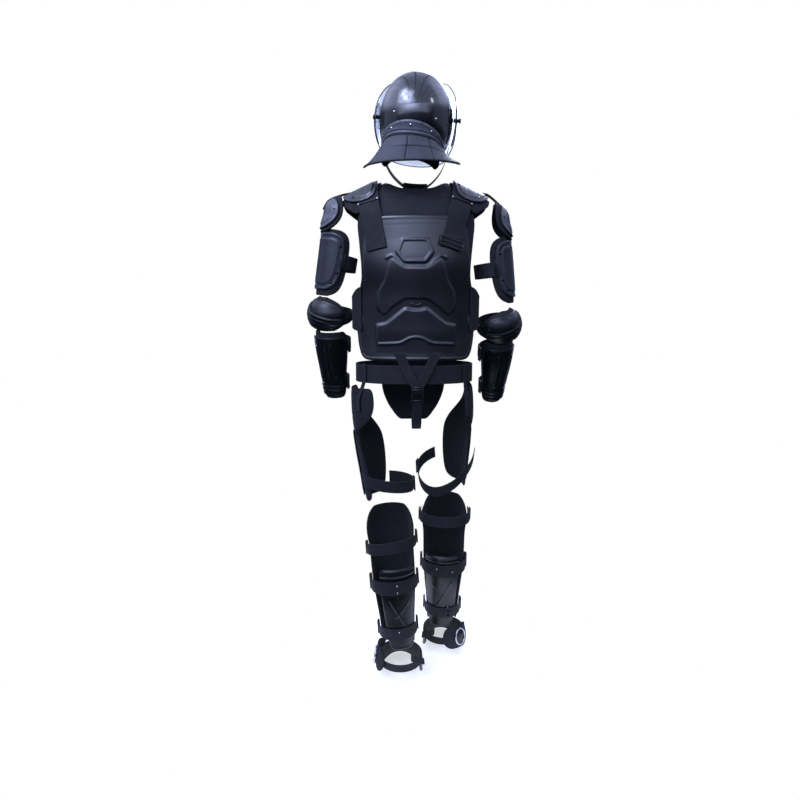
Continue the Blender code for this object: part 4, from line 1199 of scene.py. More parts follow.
def back_relief(x, height, edge):
    """The back plate's pressing: a six-sided boss, a collar ridge, a middle panel and a lower panel."""
    boss = raised(x, height, HEXAGON, 0.0050, 0.0022)
    middle = HEXAGON.mean(axis=0)
    boss = boss - raised(x, height, (HEXAGON - middle) * 0.80 + middle, 0.0045, 0.0016)
    collar = bead(apart_from(x, height, COLLAR_RIDGE), 0.0070, 0.0022)
    middle = raised(x, height, MIDDLE_PANEL, 0.0070, 0.0030)
    low = raised(x, height, LOWER_PANEL, 0.0085, 0.0046) * ramped(height, 1.085, 1.165)
    hem = bead(apart_from(x, height, HEM_RIDGE), 0.0055, 0.0022)
    lip = bead(edge - 0.0055, 0.0045, 0.0010)
    return boss + collar + middle + low + hem + lip


CHEST_PANELS = [
    softened(corners, 2, True)
    for corners in (
        [(0.012, 1.300), (0.060, 1.290), (0.108, 1.312), (0.120, 1.360), (0.098, 1.405), (0.014, 1.398)],
        mirrored([(0.088, 1.125), (0.100, 1.205), (0.072, 1.270)]),
    )
]


def chest_relief(x, height, edge):
    """The chest plate's pressing: two breast panels over a ribbed middle."""
    height = down_front(height)
    breasts = raised(np.abs(x), height, CHEST_PANELS[0], 0.0080, 0.0035)
    middle = raised(x, height, CHEST_PANELS[1], 0.0070, 0.0028)
    ribs = sum(bead(height - level - 0.15 * np.abs(x), 0.0050, -0.0016) for level in (1.160, 1.195, 1.230))
    ribs = ribs * ramped(0.078 - np.abs(x), 0, 0.012)
    return breasts + middle + ribs + bead(edge - 0.0055, 0.0040, 0.0010)


YOKE_HEIGHT = 1.44  # above it a plate stands off a little more, over the yoke's doubled cloth
OVER_YOKE = 0.0018


def vest_plate(name, face, relief, node, spacing):
    rows = []
    for height, half in PLATE_EDGE:
        way = height if face < 0 else down_front(height)
        rows.append((way, -half, half, ON_PAD + (OVER_YOKE if height > YOKE_HEIGHT else 0.0)))
    made = laid(name, torso_form, rows, spacing, HARD, 0.0018, (PLATE, PLATE), relief=relief, rounds=2)
    placed(made, [node])
    return made


def plate_slot(name, made, across, way, length=0.046):
    """A slot's moulded surround with its dark opening, upright on a plate."""
    points, faces = on(made, [across, across], [way, way + 0.005])
    boxes = [((0.0075, length, 0.0022), (0, 0, 0.0002)), ((0.0030, length - 0.006, 0.0030), (0, 0, 0.0002))]
    placed(fitting(name, points[0], points[1] - points[0], faces[0], boxes, 0.0012, (ACETAL,)))


def vest():
    """The two padded panels, the plates on them, and what fixes the plates."""
    vest_panel("sewn_back_panel", -1, 1.538, ["back_panel"], 3)
    vest_panel("sewn_chest_panel", 1, 1.500, ["chest_panel"], 4)
    back = vest_plate("moulded_back_plate", -1, back_relief, "back_plate", 0.0023)
    chest = vest_plate("moulded_chest_plate", 1, chest_relief, "chest_plate", 0.0036)
    for hand, side in (("left", -1), ("right", 1)):
        plate_slot(f"back_slot_{hand}", back, side * 0.1500, 1.178)
        plate_slot(f"chest_slot_{hand}", chest, side * 0.1500, down_front(1.178))
        for made, turn in ((back, float), (chest, down_front)):
            for x, height in ((0.126, 1.452), (0.142, 1.300), (0.150, 1.095)):
                rivets("black", *on(made, side * x, turn(height)), 0.9)
    # a small pressed keeper over the roof-shaped ridge
    heights = 1.2300 + 0.006 * np.linspace(-1, 1, 9) ** 2
    points, faces = on(back, np.linspace(-0.014, 0.014, 9), heights, 0.0006)
    keeper = tube("back_plate_keeper", points, faces, 0.0026, 0.0016, (PLATE_PAINT,))
    placed(keeper)


SHOULDER_STRAP = (
    # way from the shoulder line, inner edge, outer edge, out
    (-0.220, 0.079, 0.132, ON_PLATE),
    (-0.170, 0.087, 0.140, ON_PLATE),
    (-0.135, 0.093, 0.147, ON_PLATE),
    (-0.112, 0.098, 0.153, ON_TWO_PADS),
    (-0.065, 0.103, 0.160, ON_TWO_PADS),
    (0.000, 0.106, 0.163, ON_TWO_PADS),
)
SHOULDER_PAD = (
    (-0.112, 0.158, 0.166, ON_PAD),
    (-0.090, 0.128, 0.188, ON_PAD),
    (-0.065, 0.104, 0.206, ON_PAD),
    (0.000, 0.096, 0.212, ON_PAD),
)
SHOULDER_PLATE = (
    (-0.088, 0.128, 0.150, ON_STRAP),
    (-0.078, 0.106, 0.178, ON_STRAP),
    (-0.045, 0.102, 0.202, ON_STRAP),
    (0.000, 0.102, 0.207, ON_STRAP),
)
STRAP_SLANT = 0.9
RIGHT_LEAN = 0.07


def over_shoulder(table, side):
    """Rows for a piece that runs down the front as the table says that it does down the back."""
    back = [(SHOULDER_LINE + way, side * inner, side * outer, out) for way, inner, outer, out in table]
    front = [(2 * SHOULDER_LINE - way, inner, outer, out) for way, inner, outer, out in reversed(back[:-1])]
    return back + front


def slanted(x, way, out):
    """The torso's surface for webbing that leans inwards, so that its ends are square to it."""
    below = way - SHOULDER_LINE
    x = np.where(x > 0, x - RIGHT_LEAN * np.abs(below), x)
    return torso_form(x, SHOULDER_LINE + below * (1 + STRAP_SLANT * (np.abs(x) - 0.12)), out)


SHOULDER_WEBBING = 0.054  # its width straight across the wearer


def shoulder_webbing_grid(side, start, end, lift):
    """The grid of a stretch of shoulder webbing between two ways from the shoulder line."""
    table = np.array(over_shoulder(SHOULDER_STRAP, side))
    ways = SHOULDER_LINE + start + (end - start) * stations(abs(end - start), 0.004)
    inner, outer, out = read(table[:, 1:], ways, table[:, 0]).T
    out = blurred(out, 5) + lift
    sides = stations(SHOULDER_WEBBING, 0.004)
    x = inner[:, None] + (outer - inner)[:, None] * sides[None, :]
    way, outs = (np.repeat(values[:, None], len(sides), axis=1) for values in (ways, out))
    return on_form(slanted, x, way, outs)


def framed(edge, height, start, end):
    """A pressing with a raised middle inside its border, and a lip along the edge."""
    return height * ramped(edge, start, end) + bead(edge - 0.0042, 0.0032, 0.0008)


def shoulder_relief(x, way, edge):
    grooves = sum(bead(x - place, 0.0028, -0.0010) for place in (-0.016, 0.016))
    return framed(edge, 0.0022, 0.009, 0.014) + grooves * ramped(edge, 0.018, 0.024)


def strap_end(made, slider):
    """A slider of three bars over a strap near its first end."""
    row, middle = 8, made.outer.shape[1] // 2
    along = made.outer[row + 1, middle] - made.outer[row, middle]
    wide = made.flat[0] + 0.008
    boxes = [((wide, 0.0045, 0.0042), (0, place, 0.0022)) for place in (-0.011, 0.0, 0.011)]
    boxes += [((0.0045, 0.0265, 0.0042), (side * wide / 2, 0, 0.0022)) for side in (-1, 1)]
    point, facing = made.outer[row, middle], made.facing[row, middle]
    placed(fitting(slider, point, along, facing, boxes, 0.0013, (ACETAL,)))


def shoulder(hand, side):
    """A shoulder's pad, webbing and plate, in layers over the panels."""
    rows = over_shoulder(SHOULDER_PAD, side)
    cloths, name = (PAD_CLOTH, LINING), f"sewn_shoulder_pad_{hand}"
    pad = laid(name, torso_form, rows, 0.0045, CLOTH, 0.004, cloths, puff=0.0012)
    placed(pad, [f"shoulder_pad_{hand}"])
    hem_seam(pad)
    bound(pad, BINDING_RADIUS)
    grid, node = shoulder_webbing_grid(side, -0.220, 0.220, 0.0), f"shoulder_strap_{hand}"
    strap = strap_piece("woven_" + node, grid, [node])
    box_stitch(strap, False, 0.026)
    box_stitch(strap, True, 0.026)
    fold = -0.182 if side > 0 else -0.190
    for face, start, end in (("back", -0.2195, fold), ("front", -fold, 0.2195)):
        grid = shoulder_webbing_grid(side, start, end, WEBBING + 0.0004)
        strap_piece(f"woven_shoulder_fold_{face}_{hand}", grid, wall=THICK_WEBBING)
    for face, way in (("back", -0.094), ("front", 0.094)):
        x, run, out = side * 0.1285, SHOULDER_LINE + way, ON_TWO_PADS + WEBBING
        point = at(slanted, x, run, out)
        along, facing = at(slanted, x, run + 0.01, out) - point, at(slanted, x, run, ON_STRAP) - point
        boxes = [((0.060, 0.0040, 0.0036), (0, 0, 0.0016))]
        placed(fitting(f"strap_clip_{face}_{hand}", point, along, facing, boxes, 0.0012, (ACETAL,)))
        boxes = [((0.0050, 0.0060, 0.0046), (end * 0.0300, 0, 0.0016)) for end in (-1, 1)]
        placed(fitting(f"clip_ends_{face}_{hand}", point, along, facing, boxes, 0.0014, (NICKEL,)))
    if side > 0:
        strap_end(strap, f"strap_slider_{hand}")
    rows = over_shoulder(SHOULDER_PLATE, side)
    name = f"moulded_shoulder_plate_{hand}"
    plate = laid(name, torso_form, rows, 0.003, HARD, 0.0018, (PLATE, PLATE), side * 0.152, shoulder_relief)
    placed(plate, [f"shoulder_plate_{hand}"])
    for x, way in ((0.170, -0.066), (0.170, 0.066), (0.192, 0.0)):
        rivets("nickel" if side > 0 else "black", *on(plate, side * x, SHOULDER_LINE + way), 1.0)
    for end in (-1, 1):
        plate_slot(f"shoulder_slot_{hand}_{end + 1}", plate, side * 0.114, SHOULDER_LINE + end * 0.040, 0.020)


SIDE_STRAP = (
    # across, lower edge, upper edge
    (0.150, 1.155, 1.285),
    (0.162, 1.155, 1.281),
    (0.172, 1.158, 1.270),
    (0.179, 1.165, 1.254),
)


def side_panel(hand, side):
    """The elastic panel that closes the vest at the waist, from the back plate round to the chest plate."""
    heights = stations(0.12, 0.004)
    lines = []
    for x, low, high in SIDE_STRAP + tuple(reversed(SIDE_STRAP)):
        height = low + (high - low) * heights
        run = height if len(lines) < len(SIDE_STRAP) else down_front(height)
        lines.append(torso_form(np.full_like(height, side * x), run, ON_PLATE))
    path = softened(np.array(lines).reshape(len(lines), -1), 2)
    order = run_along(path.reshape(len(path), -1, 3)[:, len(heights) // 2])
    where = stations(order[-1], 0.004) * order[-1]
    base = read(path, where, order).reshape(len(where), -1, 3)
    grid = (base, np.zeros_like(base) + (side, 0, 0))
    panel = strap_piece(f"knitted_side_strap_{hand}", grid, [f"side_strap_{hand}"], (ELASTIC, ELASTIC))
    hem_seam(panel)


# ---- helmet


def rim_polar(angle):
    """The polar angle of the shell's lower edge, smooth all the way round."""
    rim = np.array(RIM)
    fine = np.arange(-180, 180, 2.0)
    edge = np.interp(np.abs(fine), rim[:, 0], rim[:, 1])
    for _ in range(8):
        edge = (np.roll(edge, 1) + 2 * edge + np.roll(edge, -1)) / 4
    return np.interp((angle + 180) % 360 - 180, np.append(fine, 180.0), np.append(edge, edge[0]))


def helmet_dome(name, radii, wall, short_of_rim, materials):
    """A dome from the crown down to a line just above or at the shell's rim, its wall inside its radii."""
    angle = np.linspace(0, 360, 144, endpoint=False)[None, :]
    down = np.concatenate([np.linspace(0, 0.97, 52), 1 - (EDGE_STEPS / 0.30)[::-1]])[:, None]
    down = np.unique(down)[:, None]
    polar = down * (rim_polar(angle) - short_of_rim)
    angles = angle + 0 * polar
    base, _ = on_form(head_form(radii), angles, polar, 0 * polar)
    _, toward = on_form(head_form(radii), angles, np.maximum(polar, 2.0), 0 * polar)
    edge = np.linalg.norm(base - base[-1:], axis=-1)
    lower, upper = (height - wall for height in rolled(edge, wall, 0.003))
    # in metres: the dome is about 0.12 m in radius, and a degree down it about 2.3 mm
    across, way = np.radians(angles) * 0.12, polar * 0.0023
    return skin(name, base, toward, across, way, lower, upper, materials, ring=True, pole=True)


def on_head(form, angle, polar, out):
    """Points and facings on the head at lists of angles."""
    angle, polar = np.broadcast_arrays(np.atleast_1d(np.asarray(angle, float)), np.asarray(polar, float))
    out = np.full(angle.shape, float(out))
    points = form(angle, polar, out)
    return points, unit(form(angle, polar, out + 0.01) - points)


def helmet():
    """Shell, rim, liner, band, neck guard and chin strap."""
    shell = helmet_dome("moulded_helmet_shell", SHELL_RADII, SHELL_WALL, 0.0, (SHELL, PLATE_PAINT))
    placed(shell, ["helmet_shell"])
    inside = tuple(radius - SHELL_WALL - 0.0008 for radius in SHELL_RADII)
    liner = placed(helmet_dome("padded_helmet_liner", inside, 0.0110, 3.0, (FOAM, FOAM)))
    turns = np.linspace(0, 360, 150, endpoint=False)
    points, faces = on_head(shell_form, turns, rim_polar(turns), -0.002)
    placed(tube("rubber_rim_trim", points, faces, 0.0042, 0.0034, (RUBBER,), closed=True))
    rows = [(118.0, -98.0, 98.0, LAYER), (105.0, -98.0, 98.0, LAYER)]
    # the band's paler plastic is a painted sheen
    sides = (PAINTED_SHEEN_BAND_ABS, PAINTED_SHEEN_BAND_ABS)
    band = laid("moulded_helmet_band", band_form, rows, 0.003, HARD, 0.0018, sides, relief=band_relief)
    placed(band, ["helmet_band"])
    turns = np.linspace(-94, 94, 90)
    points, faces = on_head(band_form, turns, 119.2, LAYER + 0.0024)
    placed(tube("band_rolled_edge", points, faces, 0.0046, 0.0040, (PAINTED_SHEEN_BAND_ABS,)))
    for kind, form, out, size, places in (
        (
            "nickel", band_form, LAYER + HARD, 1.25,
            ((-30, 111.5), (2, 111), (35, 111.5), (-72, 111), (76, 111)),
        ),
        ("black", band_form, LAYER + HARD, 0.8, ((-52, 107), (52, 107), (18, 107), (-14, 107))),
        ("nickel", shell_form, 0.0, 1.0, ((-26, 95),)),
        ("nickel", shell_form, 0.0, 1.1, ((40, 99),)),
        ("black", shell_form, 0.0, 1.0, ((4, 98),)),
        ("black", shell_form, 0.0, 0.8, ((62, 100), (-62, 100))),
    ):
        for angle, polar in places:
            rivets(kind, *on_head(form, angle, polar, out), size)
    neck_guard()
    chin_strap()


def band_relief(x, way, edge):
    return bead(edge - 0.0050, 0.0042, 0.0012)


GUARD_SEAMS = (-50.0, -1.0, 31.0)  # angles of the seams that run down it
GUARD_BREAK = 0.45  # the way down of the seam across it
GUARD_RADIUS = 0.145
GUARD_DROP = 0.085


def neck_guard():
    """The stiff cloth apron that hangs from the band, with its seams, stitches and bound hem."""
    ways = 0.02 + 0.98 * stations(GUARD_DROP, 0.0035)[:, None]
    half = 90.0 - 16.0 * ways
    angle = half * (2 * stations(0.40, 0.004) - 1)[None, :]
    way = ways + 0 * angle
    base, toward = on_form(neck_guard_form, angle, way, 0 * angle)
    distance = border_distance(base, False)
    lower, upper = rolled(distance, 0.0035, 0.002)
    across = angle * math.pi / 180 * GUARD_RADIUS
    seams = sum(bead((angle - turn) * math.pi / 180 * GUARD_RADIUS, 0.0050, 1.0) for turn in GUARD_SEAMS)
    seams = np.maximum(seams, bead((way - GUARD_BREAK) * GUARD_DROP, 0.0050, 1.0))
    relief = wavering(across, way * GUARD_DROP, 0.12, 0.0016, 7) * ramped(distance, 0, 0.02) - 0.0016 * seams
    relief = relief * ramped(distance, 0.001, 0.006)
    made = skin("sewn_neck_guard", base, toward, across, way, lower, upper + relief, (GUARD_CLOTH, LINING))
    placed(made, ["neck_guard"])
    length = float(run_along(base[:, base.shape[1] // 2])[-1])
    bound(made, 0.0028)
    hem_seam(made)
    lines = [(np.full(40, turn), np.linspace(0.03, 0.98, 40), 0.0024, 0.0018) for turn in GUARD_SEAMS]
    lines.append((np.linspace(-80, 80, 120), np.full(120, GUARD_BREAK), 0.0024, 0.0018))
    lines.append((np.linspace(-86, 86, 120), np.full(120, 0.045), 0.0036, 0.0034))
    for turns, ways, out, radius in lines:
        TAPES.append((neck_guard_form(turns, ways, np.full(len(turns), out)), radius, False))
    down = np.linspace(0.04, 0.97, 40)
    lines = [(np.full(40, turn + side * 1.8), down) for turn in GUARD_SEAMS for side in (-1, 1)]
    lines += [(np.linspace(-78, 78, 120), np.full(120, GUARD_BREAK + side * 0.045)) for side in (-1, 1)]
    for turns, ways in lines:
        base = neck_guard_form(turns, ways, np.full(len(turns), 0.0038))
        seam(base, unit(neck_guard_form(turns, ways, np.full(len(turns), 0.02)) - base))


def in_head(points):
    return moved(np.array(points, float), HEAD)


def chin_strap():
    """Webbing from the shell's sides to a cup under the chin, and a padded nape roll under the guard."""
    for hand, side in (("left", -1), ("right", 1)):
        path = [(0.099, 0.014, -0.062), (0.095, 0.026, -0.092)]
        path += [(0.078, 0.052, -0.130), (0.046, 0.083, -0.158)]
        path = in_head([(side * x, y, z) for x, y, z in path + [(0.018, 0.098, -0.168)]])
        width = in_head([(side * 0.0, 1.0, 0.45)] * 2 + [(0, 0.8, 0.6)] * 3) - HEAD[:3, 3]
        grid = ribbon_grid(path, width, 0.0095, 0.0035)
        grid = facing_out(grid, grid[0] - HEAD[:3, 3])
        strap_piece(f"woven_chin_strap_{hand}", grid, wall=THIN_WEBBING)
        rivets("nickel", *on_head(shell_form, side * 94, 116, -0.0002))
    turns = np.radians(180 + np.linspace(-34, 34, 15))
    cup = in_head(np.stack([0.065 * np.sin(turns), 0.050 - 0.052 * np.cos(turns), 0 * turns - 0.166], axis=1))
    cup_pad = tube("padded_chin_cup", cup, (0, 0, 1), 0.0060, 0.0150, (FOAM,), sides=16)
    placed(cup_pad)
    turns = np.radians(np.linspace(-58, 58, 30))
    nape = [0.088 * np.sin(turns), -0.098 * np.cos(turns), -0.118 - 0.010 * turns**2]
    nape = in_head(np.stack(nape, axis=1))
    ends = 0.0085 + 0.0030 * np.abs(np.linspace(-1, 1, 30)) ** 4
    roll = tube("padded_nape_roll", nape, (0, 0, 1), ends, ends * 1.25, (FOAM,), sides=16)
    placed(roll)


PIVOT = HEAD @ np.array([[1, 0, 0, 0], [0, 1, 0, 0], [0, 0, 1, PIVOT_UP], [0, 0, 0, 1]], float)
VISOR_ROWS = (
    # polar angle, first and last angle from the back
    (134.0, 118.0, 242.0, 0.0),
    (129.0, 104.0, 256.0, 0.0),
    (117.0, 94.0, 266.0, 0.0),
    (102.0, 83.0, 277.0, 0.0),
    (86.0, 78.0, 282.0, 0.0),
    (68.0, 80.0, 280.0, 0.0),
    (50.0, 86.0, 274.0, 0.0),
    (36.0, 94.0, 266.0, 0.0),
    (26.0, 112.0, 248.0, 0.0),
)


def axis_place(side):
    """The frame of a knob, whose axis points out along the visor's hinge."""
    place = PIVOT.copy()
    x, y, z = PIVOT[:3, 0], PIVOT[:3, 1], PIVOT[:3, 2]
    place[:3, 0], place[:3, 1], place[:3, 2] = (-z, y, x) if side > 0 else (z, y, -x)
    return place


def visor():
    """The clear shield with its seal, side plates and turned knobs, all on the hinge."""
    name, materials = "clear_visor_shield", (CLEAR, CLEAR)
    shield = laid(name, visor_form, VISOR_ROWS, 0.005, VISOR_WALL, 0.0016, materials, 180.0, stride=1)
    placed(shield, ["visor"], "visor")
    turns = np.linspace(116, 244, 60)
    points, faces = on_head(visor_form, turns, 27.5 + 0.0008 * (turns - 180) ** 2, -0.0022)
    placed(tube("visor_brow_seal", points, faces, 0.0050, 0.0024, (RUBBER,)), body="visor")
    inner = SHELL_RADII[0] + 0.0003
    face = VISOR_RADII[0] * math.sqrt(1 - (PIVOT_UP / VISOR_RADII[2]) ** 2)
    outside = face + VISOR_WALL
    profile = (
        # radius, way out along the axis
        (0.0, outside + 0.0064),
        (0.0026, outside + 0.0064),
        (0.0030, outside + 0.0070),
        (0.0050, outside + 0.0070),
        (0.0060, outside + 0.0064),
        (0.0066, outside + 0.0052),
        (0.0066, outside + 0.0018),
        (0.0062, outside + 0.0006),
        (PIVOT_RADIUS, outside + 0.0006),
        (PIVOT_RADIUS, face - 0.0006),
        (0.0050, face - 0.0006),
        (0.0056, inner + 0.0030),
        (0.0056, inner),
        (0.0, inner),
    )
    side_rows = [(70.0, 7.0), (76.0, 11.0), (88.0, 12.5), (100.0, 10.0), (112.0, 6.0), (118.0, 3.0)]
    for hand, side in (("left", -1), ("right", 1)):
        knob = turned(f"turned_visor_knob_{hand}", profile, axis_place(side), 14, (ACETAL,))
        placed(knob, [f"visor_knob_{hand}"], "visor")
        point = axis_place(side) @ (0, 0, outside + 0.0064, 1)
        rivets("visor", [point[:3]], [axis_place(side)[:3, 2]], 0.9)
        middle = 180.0 - side * 90.0
        rows = [(polar, middle - half, middle + half, -0.0028) for polar, half in side_rows]
        name, materials = f"visor_side_plate_{hand}", (PLATE_PAINT, PLATE_PAINT)
        plate = laid(name, visor_form, rows, 0.004, 0.0018, 0.001, materials, middle)
        placed(plate, body="visor")


# ---- arms

ARMS = (
    # name, side, shoulder, elbow, wrist, turns of the cap, the upper arm, the elbow and the forearm
    ("left", -1, (-0.216, 0.000, 1.490), (-0.261, -0.005, 1.207), (-0.251, 0.050, 0.950), 72, 49, 52, 28),
    ("right", 1, (0.215, 0.000, 1.470), (0.252, 0.005, 1.175), (0.248, 0.105, 0.950), 88, 72, 46, 28),
)
CAP = (
    # down, half angle, further out
    (-0.047, 30, 0.0),
    (-0.036, 51, 0.0),
    (-0.016, 61, 0.0),
    (0.008, 60, 0.0),
    (0.030, 47, 0.003),
    (0.046, 24, 0.006),
)
CAP_PAD = (
    (-0.051, 38, 0.0),
    (-0.040, 58, 0.0),
    (-0.018, 68, 0.0),
    (0.010, 67, 0.0),
    (0.034, 54, 0.004),
    (0.052, 28, 0.0068),
)
UPPER_PLATE = (
    (0.056, 34),
    (0.064, 60),
    (0.090, 70),
    (0.140, 70),
    (0.180, 66),
    (0.208, 54),
    (0.222, 28),
)
UPPER_PAD = (
    (0.048, 46),
    (0.056, 72),
    (0.085, 86),
    (0.150, 86),
    (0.195, 80),
    (0.224, 64),
    (0.236, 34),
)
ELBOW_CAP = (
    (-0.046, 42),
    (-0.036, 78),
    (-0.016, 96),
    (0.006, 100),
    (0.026, 92),
    (0.040, 60),
)
FOREARM_PLATE = (
    (0.064, 60),
    (0.074, 80),
    (0.120, 84),
    (0.180, 84),
    (0.240, 80),
    (0.252, 60),
)
FOREARM_PAD = (
    (0.052, 76),
    (0.062, 94),
    (0.120, 100),
    (0.180, 100),
    (0.248, 96),
    (0.260, 76),
)


def turned_rows(table, turn, out):
    """Rows for a piece that is spread evenly about an angle."""
    return [(down, turn - half, turn + half, out) for down, half in table]


def level(downs, reach=0.2):
    """Straight lines across a pad."""
    return [[(-reach, down), (reach, down)] for down in downs]


def pad_piece(
    name, form, rows, turn, nodes, puff=0.0012, channels=(), depth=0.0014, spacing=0.004,
    wall=CLOTH, tape=BINDING_RADIUS,
):
    """A sewn pad with channels across it, its hem stitches and binding."""

    def quilting(x, along, edge):
        sewn = sum(bead(apart_from(x, along, line), 0.0045, depth) for line in channels)
        return -sewn * ramped(edge, 0.003, 0.008)

    relief = quilting if channels else None
    made = laid(name, form, rows, spacing, wall, 0.0042, (PAD_CLOTH, LINING), turn, relief, puff)
    placed(made, nodes)
    hem_seam(made)
    bound(made, tape)
    return made


def plate_piece(name, form, rows, turn, nodes, relief, spacing=0.0023, wall=HARD, paint=None):
    made = laid(name, form, rows, spacing, wall, wall * 0.6, paint or (LOW_PLATE, LOW_PLATE), turn, relief)
    return placed(made, nodes)


def cap_relief(x, down, edge):
    return 0.0030 * ramped(edge, 0.0060, 0.0180)


def upper_arm_relief(x, down, edge):
    """A raised middle, and two ribs that run down it."""
    ribs = bead(x + 0.0020 + 0.05 * (down - 0.14), 0.0036, 0.0014) + bead(x - 0.020, 0.0036, 0.0014)
    ribs = ribs * ramped(down, 0.078, 0.092) * ramped(-down, -0.200, -0.186)
    return 0.0018 * ramped(edge, 0.0150, 0.0195) + ribs + bead(edge - 0.0045, 0.0034, 0.0009)


def elbow_relief(x, down, edge):
    """A smooth crown over curved lames, each standing a little over the next."""
    total = bead(edge - 0.0045, 0.0034, 0.0009)
    along = down - np.interp(x, (-0.110, -0.060, 0.005, 0.055, 0.100), (0.036, 0.029, 0.012, -0.014, -0.040))
    lame = (along + 0.026) / 0.0115
    down_it = lame - np.floor(lame)
    step = np.where(lame > 0, ramped(down_it, 0.0, 0.22) * (1 - down_it), 0.0)
    return total + 0.0034 * step * ramped(edge, 0.004, 0.012)


def forearm_relief(x, down, edge):
    """Long ribs over the forearm, and two bands at the wrist."""
    long = ramped(down, 0.088, 0.100) * ramped(-down, -0.206, -0.194)
    ribs = sum(bead(x - at, 0.0040, 0.0016) for at in (-0.020, -0.006, 0.030)) * long
    bands = bead(down - 0.222, 0.0036, 0.0018) + bead(down - 0.234, 0.0036, 0.0018)
    return ribs + bands * ramped(edge, 0.004, 0.009) + bead(edge - 0.0045, 0.0034, 0.0008)


def slider_on(name, form, angle, down, out, size, upright=False):
    """A tri-glide slider on a strap round a limb."""
    point = at(form, angle, down, out)
    facing = at(form, angle, down, out + 0.01) - point
    along = (at(form, angle, down + 0.01, out) if upright else at(form, angle + 4, down, out)) - point
    width, length = size
    boxes = [((width, 0.0040, 0.0036), (0, place, 0.0016)) for place in (-length / 2, 0.0, length / 2)]
    boxes += [((0.0040, length + 0.004, 0.0036), (side * width / 2, 0, 0.0016)) for side in (-1, 1)]
    placed(fitting(name, point, along, facing, boxes, 0.0012, (ACETAL,)))


